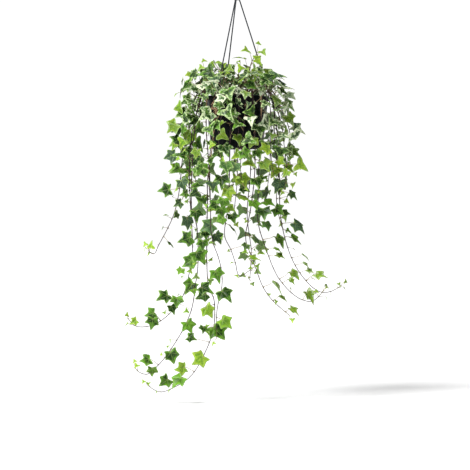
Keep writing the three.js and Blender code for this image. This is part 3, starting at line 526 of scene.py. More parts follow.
class Piece:
    """Points, faces and per-point values that become one object. Each material has its number."""

    def __init__(self, attributes=()):
        self.points = []
        self.faces = []
        self.numbers = []
        self.values = {name: [] for name in attributes}
        self.count = 0

    def add(self, points, faces, number=0, **values):
        self.points.append(points)
        for group in faces:
            self.faces.extend((np.asarray(group) + self.count).tolist())
            self.numbers.extend([number] * len(group))
        for name, rows in self.values.items():
            rows.append(np.broadcast_to(values.get(name, (0.0, 0.0, 0.0)), (len(points), 3)))
        self.count += len(points)

    def make(self, name, materials, replaced, smooth_angle=None):
        mesh = bpy.data.meshes.new(name)
        mesh.from_pydata(np.concatenate(self.points).tolist(), [], self.faces)
        for material in materials:
            mesh.materials.append(material)
        mesh.polygons.foreach_set("material_index", self.numbers)
        mesh.polygons.foreach_set("use_smooth", [True] * len(self.faces))
        for attribute, rows in self.values.items():
            made = mesh.attributes.new(attribute, "FLOAT_VECTOR", "POINT")
            made.data.foreach_set("vector", np.concatenate(rows).astype(np.float32).ravel())
        if smooth_angle:
            mesh.set_sharp_from_angle(angle=math.radians(smooth_angle))
        mesh.update()
        made = new_object(name, mesh)
        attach(made, "root")
        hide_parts(*replaced)
        return made


def ring_faces(rings, sides, first=0):
    """Quads between a row of closed rings."""
    ring = np.arange(rings - 1)[:, None] * sides
    side = np.arange(sides)[None, :]
    after = (side + 1) % sides
    quads = np.stack([ring + side, ring + after, ring + after + sides, ring + side + sides], -1)
    return quads.reshape(-1, 4) + first


def cap_faces(ring_start, sides, tip, outward):
    """Triangles from a ring to a tip."""
    side = np.arange(sides)
    after = (side + 1) % sides
    tips = np.full(sides, tip)
    pair = (side, after) if outward else (after, side)
    return np.stack([ring_start + pair[0], ring_start + pair[1], tips], -1)


def closed_rings(rings, first_tip, last_tip):
    """A closed surface through a row of rings with a tip at each end: its points and faces."""
    sides = rings.shape[1]
    count = len(rings) * sides
    points = np.concatenate([rings.reshape(-1, 3), [first_tip], [last_tip]])
    faces = [
        ring_faces(len(rings), sides),
        cap_faces(0, sides, count, outward=False),
        cap_faces(count - sides, sides, count + 1, outward=True),
    ]
    return points, faces


def curved_edge(start, start_handle, end, end_handle, steps):
    """Points of a cubic curve from its start, without its end."""
    share = np.linspace(0, 1, steps, endpoint=False)[:, None]
    back = 1 - share
    return (
        back**3 * start
        + 3 * back**2 * share * (start + start_handle)
        + 3 * back * share**2 * (end - end_handle)
        + share**3 * end
    )


def smooth_line(points, step):
    """Points every step or so along a smooth curve through the given points, and for each the
    number of its stretch plus its share of that stretch."""
    points = np.asarray(points)
    gaps = np.linalg.norm(np.diff(points, axis=0), axis=1)[:, None]
    slopes = np.diff(points, axis=0) / gaps
    inner = (slopes[:-1] * gaps[1:] + slopes[1:] * gaps[:-1]) / (gaps[:-1] + gaps[1:])
    ways = np.concatenate([slopes[:1], inner, slopes[-1:]])
    line = []
    places = []
    for stretch, gap in enumerate(gaps[:, 0]):
        count = max(1, round(gap / step))
        start, end = points[stretch:stretch + 2]
        start_handle, end_handle = ways[stretch:stretch + 2] * gap / 3
        line.append(curved_edge(start, start_handle, end, end_handle, count))
        places.append(stretch + np.arange(count) / count)
    line.append(points[-1:])
    places.append([len(gaps)])
    return np.concatenate(line), np.concatenate(places)


def frames_along(line, start):
    """Two directions square to a line at each of its points, carried along unturned."""
    ways = np.gradient(line, axis=0)
    ways /= np.linalg.norm(ways, axis=1)[:, None]
    across = np.empty_like(line)
    current = np.asarray(start, float)
    for index, way in enumerate(ways):
        current = unit(current - way * (current @ way))
        across[index] = current
    return across, np.cross(ways, across)


def tube(line, radii, sides, start):
    """A closed round tube along a line: its points and faces."""
    across, third = frames_along(line, start)
    angle = 2 * math.pi * np.arange(sides) / sides
    radii = np.asarray(radii)[:, None, None]
    rings = (
        line[:, None]
        + radii * np.cos(angle)[None, :, None] * across[:, None]
        + radii * np.sin(angle)[None, :, None] * third[:, None]
    )
    return closed_rings(rings, line[0], line[-1])


# Reading the vines from the solids


def welded(node):
    """A CAD node's points and triangles, with the points at one place made one."""
    mesh = bmesh.new()
    mesh.from_mesh(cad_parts[node].data)
    bmesh.ops.remove_doubles(mesh, verts=mesh.verts, dist=WELD_GAP)
    bmesh.ops.triangulate(mesh, faces=mesh.faces)
    mesh.verts.index_update()
    points = np.array([vertex.co for vertex in mesh.verts])
    triangles = [tuple(vertex.index for vertex in face.verts) for face in mesh.faces]
    mesh.free()
    return points, triangles


def new_leaf(junction, normal, forward, rim, size, droop, notch, root):
    """A leaf: where its blade meets its stalk, its frame, its rim as (right, forward) points, its
    size and droop, and the stalk's two ends."""
    right = np.cross(forward, normal)
    return {
        "junction": junction, "normal": normal, "forward": forward, "right": right, "rim": rim,
        "size": size, "droop": droop, "notch": notch, "root": root,
    }


def read_leaf(top, bottom, points, turns, near):
    """One leaf from its two apexes, with the corners that are its own."""
    rim_set = near[top] & near[bottom]
    ends = near[top] - rim_set - {bottom}
    right_end = next(end for end in ends if turns[top][end] in rim_set)
    rim = [turns[top][right_end]]
    while turns[top][rim[-1]] in rim_set:
        rim.append(turns[top][rim[-1]])
    ends |= near[bottom] - rim_set - {top}
    leaf = {top, bottom, *rim_set, *ends}
    roots = set().union(*(near[end] for end in ends)) - leaf

    junction = (points[top] + points[bottom]) / 2
    normal = unit(points[top] - points[bottom])
    spread = points[rim] - junction
    middle = spread[len(rim) // 2]
    forward = unit(middle - normal * (middle @ normal))
    right = np.cross(forward, normal)
    flat = np.stack([spread @ right, spread @ forward], -1)
    size = np.linalg.norm(flat[len(rim) // 2])
    droop = -np.mean((spread @ normal) / (flat**2).sum(1))
    notch = points[sorted(ends)].mean(0)
    root = points[sorted(roots)].mean(0)
    return dict(new_leaf(junction, normal, forward, flat, size, droop, notch, root), corners=leaf)


def read_stem(points, near, stem):
    """The middles and radii of a stem's rings, from its lowest ring in the pot on. A joint's two
    rings count as one."""
    inside = [corner for corner in stem if np.hypot(*points[corner][:2]) < BASE_RADIUS]
    ring = set(sorted(inside, key=lambda corner: points[corner][2])[:RING_CORNERS])
    done = set()
    middles = []
    radii = []
    while ring:
        done |= ring
        corners = points[sorted(ring)]
        middle = corners.mean(0)
        if middles and np.linalg.norm(middle - middles[-1]) < JOINT_GAP:
            middles[-1] = (middles[-1] + middle) / 2
        else:
            middles.append(middle)
            radii.append(np.linalg.norm(corners - middle, axis=1).mean())
        ring = set().union(*(near[corner] for corner in ring)) & stem - done
    return np.array(middles), np.array(radii)


def read_vine(node):
    """A vine's leaves, and its stem as the middles and radii of its rings from the soil on."""
    points, triangles = welded(node)
    near = [set() for _ in points]
    turns = [{} for _ in points]
    for a, b, c in triangles:
        for corner, after, last in ((a, b, c), (b, c, a), (c, a, b)):
            near[corner] |= {after, last}
            turns[corner][after] = last

    gaps = np.linalg.norm(points[:, None] - points[None], axis=2)
    pairs = np.argwhere(np.triu(np.abs(gaps - APEX_GAP) < APEX_SLACK))
    leaves = []
    for first, second in pairs:
        shared = near[first] & near[second]
        if len(shared) < APEX_SHARED or second in near[first]:
            continue
        top, bottom = sorted((first, second), key=lambda apex: -len(near[apex]))
        leaves.append(read_leaf(top, bottom, points, turns, near))
    stem = set(range(len(points))) - set().union(*(leaf["corners"] for leaf in leaves))
    return leaves, *read_stem(points, near, stem)


# Blades


def blade_outline(rim, size, steps):
    """The outline of a blade from its notch round to its notch, counter-clockwise from above.
    Lobes bulge a little toward their tips, the hollows between them and the lowest lobes are
    round, and the notch is a heart's."""
    keys = [np.array([0.0, -NOTCH * size]), *rim]
    count = len(keys)
    arrive = [unit(np.array([0.85, 0.5]))]
    leave = [unit(np.array([0.85, -0.5]))]
    for place in range(1, count):
        before, key, after = keys[place - 1], keys[place], keys[(place + 1) % count]
        smooth = unit(after - before)
        bulge = LOBE_BULGE * unit(key)
        sharp_in = unit((1 + LOBE_BULGE) * unit(key - before) - bulge)
        sharp_out = unit((1 + LOBE_BULGE) * unit(after - key) + bulge)
        lobe_roundness = LOW_LOBE_ROUNDNESS if place in (1, count - 1) else LOBE_ROUNDNESS
        roundness = 1.0 if place % 2 == 0 else lobe_roundness
        arrive.append(unit(sharp_in + roundness * (smooth - sharp_in)))
        leave.append(unit(sharp_out + roundness * (smooth - sharp_out)))
    edges = []
    for place, key in enumerate(keys):
        next_place = (place + 1) % count
        after = keys[next_place]
        reach = HANDLE_SHARE * np.linalg.norm(after - key)
        edges.append(curved_edge(key, reach * leave[place], after, reach * arrive[next_place], steps))
    return np.concatenate(edges)


def distance_to_outline(places, outline):
    """How far each place lies inside a closed outline."""
    ways = np.roll(outline, -1, axis=0) - outline
    offsets = places[:, None] - outline
    share = np.clip((offsets * ways).sum(2) / (ways**2).sum(1), 0, 1)
    return np.linalg.norm(offsets - share[..., None] * ways, axis=2).min(1)


def vein_places(places, rim):
    """For each place on a blade, how far it is along the nearest main vein and away from it."""
    ways = np.array([unit(tip) for tip in rim[::2]])
    along = places @ ways.T
    across = np.abs(places[:, 0, None] * ways[:, 1] - places[:, 1, None] * ways[:, 0])
    across = np.where(along < 0, np.linalg.norm(places, axis=1)[:, None], across)
    nearest = across.argmin(1)
    rows = np.arange(len(places))
    return np.maximum(along[rows, nearest], 0), across[rows, nearest]


def blade_height(leaf, flat, share, across, random):
    """How high each place of a blade stands: it droops to its rim, its veins lie in valleys, its
    halves fold up a little and its edge waves."""
    size = leaf["size"]
    reach = np.linalg.norm(flat, axis=1)
    angle = np.arctan2(flat[:, 0], flat[:, 1])
    fold = size * random.uniform(*FOLDS)
    wave = size * random.uniform(*WAVES)
    waves = random.integers(*WAVE_COUNTS)
    phase = random.uniform(0, 2 * math.pi)
    valley = VEIN_DEPTH * np.exp(-((across / (VEIN_WIDTH * size)) ** 2)) * (1 - 0.6 * share)
    swelling = np.sin(np.clip(across / (PILLOW_WIDTH * size), 0, 1) * math.pi / 2)
    pillow = PILLOW_HEIGHT * size * swelling
    return (
        -leaf["droop"] * reach**2
        + fold * np.abs(flat[:, 0]) / size * share
        + wave * np.sin(waves * angle + phase) * share**2
        + pillow * (1 - share**3)
        - valley
        - 0.5 * pillow.max()
    )


def blade_faces(rings, sides):
    """The faces of a blade's upper side, its underside and the strip round its rim."""
    count = 1 + rings * sides
    fan = cap_faces(1, sides, 0, outward=True)
    grid = ring_faces(rings, sides, first=1)[:, ::-1]
    side = count - sides + np.arange(sides)
    after = np.roll(side, -1)
    strip = np.stack([side, side + count, after + count, after], -1)
    return [fan, grid, fan[:, ::-1] + count, grid[:, ::-1] + count, strip]


def add_blade(piece, leaf, look, random, ring_shares=BLADE_RINGS, edge_steps=EDGE_STEPS):
    """A thin closed blade, with the values that its material colours it by."""
    size = leaf["size"]
    outline = blade_outline(leaf["rim"], size, edge_steps)
    shares = np.array(ring_shares)
    flat = (shares[:, None, None] * outline[None]).reshape(-1, 2)
    flat = np.concatenate([[[0.0, 0.0]], flat])
    count = len(flat)
    share = np.concatenate([[0.0], np.repeat(shares, len(outline))])
    along, across = vein_places(flat, leaf["rim"])
    inset = distance_to_outline(flat, outline)
    height = blade_height(leaf, flat, share, across, random)
    middle = (
        leaf["junction"]
        + flat[:, :1] * leaf["right"]
        + flat[:, 1:] * leaf["forward"]
        + height[:, None] * leaf["normal"]
    )
    half = np.interp(share, [0, 1], [BLADE_THICKNESS / 2, EDGE_THICKNESS / 2])
    offset = half[:, None] * leaf["normal"]

    veins = np.tile(np.stack([along / MM, across / MM, np.ones(count)], -1), (2, 1))
    veins[count:, 2] = 0
    zone = np.stack([inset / size, np.full(count, look["sage"]), np.full(count, look["vivid"])], -1)
    pattern = random.uniform(0, PATTERN_SPREAD)
    place = np.concatenate([flat / MM, np.full((count, 1), pattern)], 1)
    piece.add(
        np.concatenate([middle + offset, middle - offset]),
        blade_faces(len(shares), len(outline)),
        number=LEAF,
        leaf_place=np.tile(place, (2, 1)),
        leaf_vein=veins,
        leaf_zone=np.tile(zone, (2, 1)),
        leaf_look=(look["cream"], look["youth"], look["tone"]),
    )


def add_round(piece, line, radii, sides, sideways, look):
    """A round stem, stalk, bud or root. Its look is how woody it is, how tender and how much it is
    a stalk."""
    points, faces = tube(line, radii, sides, sideways)
    piece.add(points, faces, number=STEM, stem_look=look)


def add_stalk(piece, leaf, random):
    """A leaf's stalk: thicker where it leaves the stem, a little bowed, and run out under the
    blade."""
    root = leaf["root"]
    notch = leaf["notch"] - 0.1 * MM * leaf["normal"]
    way = notch - root
    inner = root - unit(way) * 1.2 * MM
    side = unit(np.cross(way, random.normal(size=3)))
    bow = side * np.linalg.norm(way) * random.uniform(0.0, STALK_BOW)
    below_blade = leaf["junction"] - 0.45 * MM * leaf["normal"]
    ending = below_blade + NOTCH * leaf["size"] * leaf["forward"]
    marks = [inner, root + 0.12 * way, root + 0.5 * way + bow, notch, ending]
    line, places = smooth_line(marks, STALK_STEP)
    scale = 0.75 + 0.25 * eased(leaf["size"], 0.012, 0.03)
    radii = scale * np.interp(places, range(len(marks)), STALK_RADII)
    add_round(piece, line, radii, STALK_SIDES, leaf["right"], (0.0, 0.0, 1.0))


def leaflet_at(middle, taken, sizes, random):
    """A young leaf on a short stalk, turned out from the plant, or None where a leaf is in its
    way. Taken holds the middle and the reach of each leaf so far."""
    size = random.uniform(*sizes)
    outward = unit(np.array([middle[0], middle[1], 0.0]) + [0, -0.02, 0])
    shake = random.normal(size=(3, 3))
    way = unit(outward + 0.25 * UP + 0.45 * shake[0])
    junction = middle + way * random.uniform(*LEAFLET_STALKS)
    normal = unit(outward + 0.6 * UP + 0.4 * shake[1])
    forward = -0.8 * UP + 0.5 * way + 0.5 * shake[2]
    forward = unit(forward - normal * (normal @ forward))
    away = np.linalg.norm(taken[:, :3] - junction - ROOM_FORWARD * size * forward, axis=1)
    if np.any(away < taken[:, 3] + LEAFLET_ROOM * size):
        return None
    half = [(math.radians(angle), share * size) for angle, share in LEAFLET_LOBES]
    turns = [*half, *((-angle, reach) for angle, reach in half[-2::-1])]
    rim = [[reach * math.sin(angle), reach * math.cos(angle)] for angle, reach in turns]
    rim = np.array(rim) * random.uniform(*LEAFLET_VARIETY, (len(rim), 1))
    droop = random.uniform(*LEAFLET_DROOPS) / size
    notch = junction - NOTCH * size * forward
    return new_leaf(junction, normal, forward, rim, size, droop, notch, middle)


def add_bud(piece, leaf):
    """A pointed bud where a leaf's stalk leaves the stem, which points down along the stalk."""
    stalk_way = unit(leaf["notch"] - leaf["root"])
    way = unit(stalk_way - 0.8 * UP)
    shares = np.array([0.0, 0.3, 0.65, 1.0])
    line = leaf["root"] + shares[:, None] * BUD_LENGTH * way
    radii = BUD_RADIUS * np.array([0.8, 1.0, 0.7, 0.12])
    add_round(piece, line, radii, BUD_SIDES, TWIG_SIDEWAYS, (0.0, 0.7, 0.5))


def add_rootlets(piece, middle, random):
    """A few short aerial roots at a joint."""
    for _ in range(random.integers(*ROOTLET_COUNTS)):
        way = unit(random.normal(size=3) - 0.4 * UP)
        reach = random.uniform(*ROOTLET_LENGTHS)
        bend = 0.2 * reach * random.normal(size=3)
        line = np.array([middle, middle + 0.55 * reach * way + bend, middle + reach * way])
        add_round(piece, line, ROOTLET_RADII, ROOTLET_SIDES, ROOTLET_SIDEWAYS, (1.0, 0.0, 0.0))


def add_tangle(piece, line):
    """Thin bare twigs that leave the stem by the rim and come back to it lower down."""
    random = np.random.default_rng([SEED, TANGLE_SEED])
    drop = RIM_Z - line[:, 2]
    beyond = np.hypot(line[:, 0], line[:, 1]) > RIM_RADIUS
    places = np.flatnonzero((drop > TANGLE_DROPS[0]) & (drop < TANGLE_DROPS[1]) & beyond)
    for _ in range(TANGLE_TWIGS):
        start, end = np.sort(random.choice(places, 2, replace=False))
        if end - start < 4:
            end = min(start + 5, places[-1])
        marks = [line[start]]
        for share in (0.25, 0.5, 0.75):
            middle = (1 - share) * line[start] + share * line[end]
            outward = unit(np.array([middle[0], middle[1], 0]))
            aside = np.cross(outward, UP)
            marks.append(
                middle
                + random.uniform(*TWIG_OUTWARD) * outward
                + random.uniform(*TWIG_ASIDE) * aside
                + random.uniform(*TWIG_UPWARD) * UP
            )
        marks.append(line[end])
        twig, _ = smooth_line(marks, TWIG_STEP)
        radii = np.full(len(twig), TWIG_RADIUS)
        add_round(piece, twig, radii, TWIG_SIDES, TWIG_SIDEWAYS, (1.0, 0.0, 0.0))


def stem_looks(node, line, left):
    """How woody and how tender a stem is along its line. It is tan and woody down to a drop below
    the rim, and tender where little is left to its tip."""
    tan = 1.0 if node in TAN_DROPS else USUAL_TAN
    drop = TAN_DROPS.get(node, TAN_DROP)
    woody = np.array([1 - eased(RIM_Z - z, drop - TAN_FADE, drop) for z in line[:, 2]])
    tender = TENDER_SHARE * np.clip(1 - left / TENDER_REACH, 0, 1)
    return np.stack([tan * woody * (1 - tender), tender, np.zeros(len(line))], -1)


def add_stem(piece, node, middles, radii):
    """A round stem through its rings' middles, swollen at each joint. Gives its line, and how
    much of it is left to its tip at each point."""
    line, places = smooth_line(middles, STEM_STEP)
    slim = STEM_SHARE * np.interp(places, range(len(radii)), radii)
    off_joint = np.abs(places - np.round(places))
    swell = 1 + JOINT_SWELL * np.exp(-((off_joint / JOINT_REACH) ** 2))
    steps = np.linalg.norm(np.diff(line, axis=0), axis=1)
    left = np.concatenate([np.cumsum(steps[::-1])[::-1], [0]])
    looks = stem_looks(node, line, left)
    rows = np.concatenate([np.repeat(looks, STEM_SIDES, axis=0), looks[:1], looks[-1:]])
    add_round(piece, line, slim * swell, STEM_SIDES, (0.0, 1.0, 0.0), rows)
    return line, left


def leaf_look(leaf, left, young_reach, random):
    """How a leaf is coloured: cream on the crown and on down the right side, greener below, and
    lime near a tip."""
    drop = RIM_Z - leaf["junction"][2]
    high = 1 - eased(drop, *HIGH_DROPS)
    on_top = 1 - eased(drop, *TOP_DROPS)
    by_pot = 1 - eased(drop, *POT_DROPS)
    rightward = eased(leaf["junction"][0], *RIGHT_PLACES)
    low_right = rightward * eased(drop, *LOW_RIGHT_DROPS)
    pale_from, pale_to = PALE_DROPS
    pale_part = 1 - eased(drop, pale_from, pale_to + PALE_DROP_ON_RIGHT * rightward)
    small = (1 - eased(leaf["size"], *SMALL_SIZES)) * (1 - 0.6 * high)
    near_tip = 1 - eased(left, 0.01, young_reach)

    cream = CREAM + POT_CREAM * by_pot
    cream += (CREAM_SPREAD + POT_CREAM_SPREAD * by_pot) * random.random()
    cream += CROWN_CREAM * pale_part * random.random() ** CREAM_RARITY
    cream += LOW_RIGHT_CREAM * low_right
    youth = max(
        small * random.random(),
        near_tip * random.uniform(0.55, 1.0),
        LOW_RIGHT_YOUTH * low_right,
    )
    if random.random() < LIME_CHANCE:
        youth = max(youth, random.uniform(*LIME_YOUTH) * (1 - 0.3 * high))
    if leaf.get("pale"):
        cream = 1.0
        youth = 0.0
    sage = random.uniform(0.4, 1.0) if random.random() < SAGE_CHANCE * (1 - youth) else 0.0
    return {
        "sage": sage * (1 - eased(drop, *SAGE_DROPS)),
        "cream": cream * (1 - 0.5 * youth) * (1 - 0.6 * on_top),
        "youth": min(youth, 1.0),
        "tone": random.random() ** TONE_RARITY * (1 - 0.4 * high) * (1 - 0.6 * on_top),
        "vivid": eased(drop, *VIVID_DROPS),
    }


def mark_pale(leaves):
    """Marks the front leaf nearest to each place where the plant shows an almost white one."""
    middles = np.array([room_of(leaf)[:3] for leaf in leaves])
    for x, z in PALE_LEAVES:
        offsets = (middles - [x, FRONT_Y, z]) * [1, DEPTH_WEIGHT, 1]
        nearest = np.linalg.norm(offsets, axis=1).argmin()
        leaves[nearest]["pale"] = True


def room_of(leaf):
    """The middle of a leaf and the reach round it that it fills."""
    middle = leaf["junction"] + ROOM_FORWARD * leaf["size"] * leaf["forward"]
    return [*middle, ROOM_REACH * leaf["size"]]


def grow_joint(piece, middle, left, young_reach, taken, random):
    """Rootlets and leaflets at a joint: many leaflets round the pot, except before its front, and
    few lower down. Gives the room taken by all leaves so far."""
    if random.random() < ROOTLET_CHANCE:
        add_rootlets(piece, middle, random)
    drop = RIM_Z - middle[2]
    before_pot = abs(middle[0]) < RIM_RADIUS and middle[1] < 0 and 0 < drop < POT_HEIGHT
    dense = drop < DENSE_DROP and not before_pot
    if not dense and random.random() > LOW_CHANCE:
        return taken
    tries, sizes = HIGH_LEAFLETS if dense else LOW_LEAFLETS
    for _ in range(tries):
        leaflet = leaflet_at(middle, taken, sizes, random)
        if leaflet:
            taken = np.vstack([taken, room_of(leaflet)])
            look = leaf_look(leaflet, left, young_reach, random)
            add_blade(piece, leaflet, look, random, LEAFLET_RINGS, LEAFLET_EDGE_STEPS)
            add_stalk(piece, leaflet, random)
    return taken


def make_vine(node, number, vine, taken, materials):
    """One vine with its leaves. Gives the room taken by all leaves so far."""
    leaves, middles, radii = vine
    piece = Piece(("leaf_place", "leaf_vein", "leaf_zone", "leaf_look", "stem_look"))
    line, left = add_stem(piece, node, middles, radii)
    if node == TANGLED_VINE:
        add_tangle(piece, line)
    usual_reach = SHOOT_YOUNG_REACH if node.startswith("shoot") else YOUNG_REACH
    young_reach = LIME_SHOOTS.get(node, usual_reach)

    def left_at(place):
        return left[np.linalg.norm(line - place, axis=1).argmin()]

    for rank, leaf in enumerate(sorted(leaves, key=lambda leaf: left_at(leaf["root"]))):
        random = np.random.default_rng([SEED, number, rank])
        look = leaf_look(leaf, left_at(leaf["root"]), young_reach, random)
        add_blade(piece, leaf, look, random)
        add_stalk(piece, leaf, random)
        add_bud(piece, leaf)

    for rank, middle in enumerate(middles):
        in_pot = np.hypot(*middle[:2]) < RIM_RADIUS and middle[2] < RIM_Z + 0.02
        if not in_pot:
            random = np.random.default_rng([SEED, number, JOINT_SEEDS + rank])
            taken = grow_joint(piece, middle, left_at(middle), young_reach, taken, random)
    piece.make(f"{node}_foliage", materials, [node])
    return taken


def make_plant():
    """All vines and shoots, each read from its solid and made finer."""
    materials = [leaf_material(), stem_material()]
    names = [name for name in sorted(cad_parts) if name.startswith(("vine", "shoot"))]
    vines = {node: read_vine(node) for node in names}
    leaves = [leaf for found, _, _ in vines.values() for leaf in found]
    mark_pale(leaves)
    taken = np.array([room_of(leaf) for leaf in leaves])
    for number, (node, vine) in enumerate(vines.items()):
        taken = make_vine(node, number, vine, taken, materials)


# Pot


def turned(profile, sides):
    """A closed surface turned from a profile of (radius, z) points that starts and ends on the
    axis."""
    radius, height = np.transpose(profile)
    angle = 2 * math.pi * np.arange(sides) / sides
    x = radius[1:-1, None] * np.cos(angle)
    y = radius[1:-1, None] * np.sin(angle)
    z = np.broadcast_to(height[1:-1, None], x.shape)
    return closed_rings(np.stack([x, y, z], -1), [0, 0, height[0]], [0, 0, height[-1]])


def rounded(profile, radius, steps=4):
    """A profile with its inner corners rounded."""
    profile = [np.array(point, float) for point in profile]
    made = [profile[0]]
    for before, corner, after in zip(profile, profile[1:], profile[2:]):
        shorter = min(np.linalg.norm(before - corner), np.linalg.norm(after - corner))
        reach = min(radius, 0.45 * shorter)
        start = corner + reach * unit(before - corner)
        end = corner + reach * unit(after - corner)
        for share in np.linspace(0, 1, steps + 1):
            back = 1 - share
            made.append(back**2 * start + 2 * share * back * corner + share**2 * end)
    made.append(profile[-1])
    return made


def strand_path(azimuth):
    """A strand's upper end, its direction and how long it is down to the ear."""
    top = around(STRAND_TOP_RADIUS, azimuth, STRAND_TOP_Z)
    slot = around(SLOT_RADIUS, azimuth, RIM_Z - EAR_TOP_DROP - EAR_THICKNESS / 2)
    return top, unit(slot - top), np.linalg.norm(slot - top)


def rounded_section(width, thickness, corner, steps=5):
    """A rectangle with rounded corners, as (wide, thick) points, counter-clockwise."""
    points = []
    corner = min(corner, 0.499 * width, 0.499 * thickness)
    for quarter, (x, y) in enumerate(((1, 1), (-1, 1), (-1, -1), (1, -1))):
        middle = np.array([x * (width / 2 - corner), y * (thickness / 2 - corner)])
        for step in range(steps + 1):
            angle = math.radians(90 * quarter + 90 * step / steps)
            points.append(middle + corner * np.array([math.cos(angle), math.sin(angle)]))
    return np.array(points)


def add_ear(piece, azimuth):
    """An ear: a rounded plate with a slanted slot, its inner end sunk in the rim band."""
    _, along, _ = strand_path(azimuth)
    outward = around(1, azimuth, 0)
    wide = around(1, azimuth + 90, 0)
    inside = RIM_RADIUS - LIP_WIDTH / 2
    ear_z = RIM_Z - EAR_TOP_DROP - EAR_THICKNESS / 2
    outer = rounded_section(EAR_REACH - inside, EAR_WIDTH, 0.002)
    outer_middle = around((EAR_REACH + inside) / 2, azimuth, ear_z)
    slot_thickness = PLATE_THICKNESS / -along[2] + 2 * HANGER_CLEARANCE
    slot = rounded_section(slot_thickness, PLATE_WIDTH + 2 * HANGER_CLEARANCE, 0.0006)
    slot_middle = around(SLOT_RADIUS, azimuth, ear_z)

    def ring(section, middle, way, height, inset):
        places = section * (1 - 2 * inset / np.ptp(section, axis=0))
        return middle + height * way + places[:, :1] * outward + places[:, 1:] * wide

    half = EAR_THICKNESS / 2
    edge = 0.0005
    lean = along / along[2]
    steps = [(-half, edge), (edge - half, 0), (half - edge, 0), (half, edge)]
    rings = [ring(outer, outer_middle, UP, height, inset) for height, inset in steps]
    rings += [ring(slot, slot_middle, lean, height, -inset) for height, inset in steps[::-1]]
    points = np.concatenate(rings)
    piece.add(points, [ring_faces(len(rings) + 1, len(outer)) % len(points)])


def make_pot(material):
    """The pot: a thin wall with a rim band, a low foot, drain holes and the ears."""
    base = RIM_Z - POT_HEIGHT
    band = RIM_Z - RIM_BAND_HEIGHT
    depth = POT_HEIGHT - RIM_BAND_HEIGHT
    outside = [
        (0, base + POT_FOOT),
        (BASE_RADIUS - 0.009, base + POT_FOOT),
        (BASE_RADIUS - 0.0075, base),
    ]
    for share in (0.0, 0.33, 0.66, 1.0):
        radius = BASE_RADIUS + share * (WALL_TOP_RADIUS - BASE_RADIUS)
        outside.append((radius, base + share * depth))
    outside += [
        (RIM_RADIUS, band),
        (RIM_RADIUS, RIM_Z),
        (RIM_RADIUS - LIP_WIDTH, RIM_Z),
        (WALL_TOP_RADIUS - POT_WALL, band),
        (BASE_RADIUS - POT_WALL, base + POT_WALL + POT_FOOT),
        (0, base + POT_WALL + POT_FOOT),
    ]
    body = Piece()
    body.add(*turned(rounded(outside, ROUNDING), POT_SIDES))
    pot = body.make("pot_body", [material], ["pot"], smooth_angle=35)

    drill = Piece()
    for hole in range(DRAIN_HOLES):
        centre = around(DRAIN_CIRCLE_RADIUS, 360 * hole / DRAIN_HOLES, 0)
        line = np.array([centre + [0, 0, base - 0.004], centre + [0, 0, base + 0.008]])
        drill.add(*tube(line, [DRAIN_HOLE_RADIUS] * 2, DRAIN_HOLE_SIDES, (1.0, 0.0, 0.0)))
    cutter = drill.make("drain_drill", [material], [])
    cut = pot.modifiers.new("drain", "BOOLEAN")
    cut.operation = "DIFFERENCE"
    cut.object = cutter
    drained = pot.evaluated_get(bpy.context.evaluated_depsgraph_get())
    pot.data = bpy.data.meshes.new_from_object(drained)
    pot.modifiers.clear()
    bpy.data.objects.remove(cutter)

    ears = Piece()
    for azimuth in EAR_AZIMUTHS.values():
        add_ear(ears, azimuth)
    ears.make("pot_ears", [material], ["pot"], smooth_angle=40)


# Hanger


def make_strand(name, azimuth, material):
    """A strand: a bead, a thin rod, and a flat end through the ear with a barb below it."""
    top, along, length = strand_path(azimuth)
    wide = around(1, azimuth + 90, 0)
    thick = np.cross(along, wide)
    rod = 2 * STRAND_RADIUS
    bead = 2 * BEAD_RADIUS
    barb = length + EAR_THICKNESS / 2 + 0.0016
    plate = length - PLATE_LENGTH
    stations = [
        (-0.0022, 0.6 * bead, 0.6 * bead),
        (-0.0016, 0.88 * bead, 0.88 * bead),
        (-0.0006, bead, bead),
        (0.0008, bead, bead),
        (0.0017, 0.85 * bead, 0.85 * bead),
        (0.0024, rod, rod),
        (plate - 0.009, rod, rod),
        (plate - 0.006, 1.25 * rod, 0.97 * rod),
        (plate - 0.002, PLATE_WIDTH - 0.0007, PLATE_THICKNESS + 0.0001),
        (plate, PLATE_WIDTH, PLATE_THICKNESS),
        (barb, PLATE_WIDTH, PLATE_THICKNESS),
        (barb + 0.0002, BARB_WIDTH - 0.0006, PLATE_THICKNESS),
        (barb + 0.0006, BARB_WIDTH, PLATE_THICKNESS),
        (barb + BARB_LENGTH - 0.0008, PLATE_WIDTH / 2 + 0.0006, PLATE_THICKNESS),
        (barb + BARB_LENGTH, PLATE_WIDTH / 2 - 0.001, PLATE_THICKNESS - 0.0008),
    ]
    rings = []
    for distance, width, thickness in stations:
        section = rounded_section(width, thickness, PLATE_ROUNDING if width > 1.3 * rod else bead)
        centre = top + distance * along
        rings.append(centre + section[:, :1] * wide + section[:, 1:] * thick)
    piece = Piece()
    piece.add(*closed_rings(np.array(rings), rings[0].mean(0), rings[-1].mean(0)))
    node = f"hanger_strand_{name}"
    piece.make(f"{node}_rod", [material], [node], smooth_angle=35)


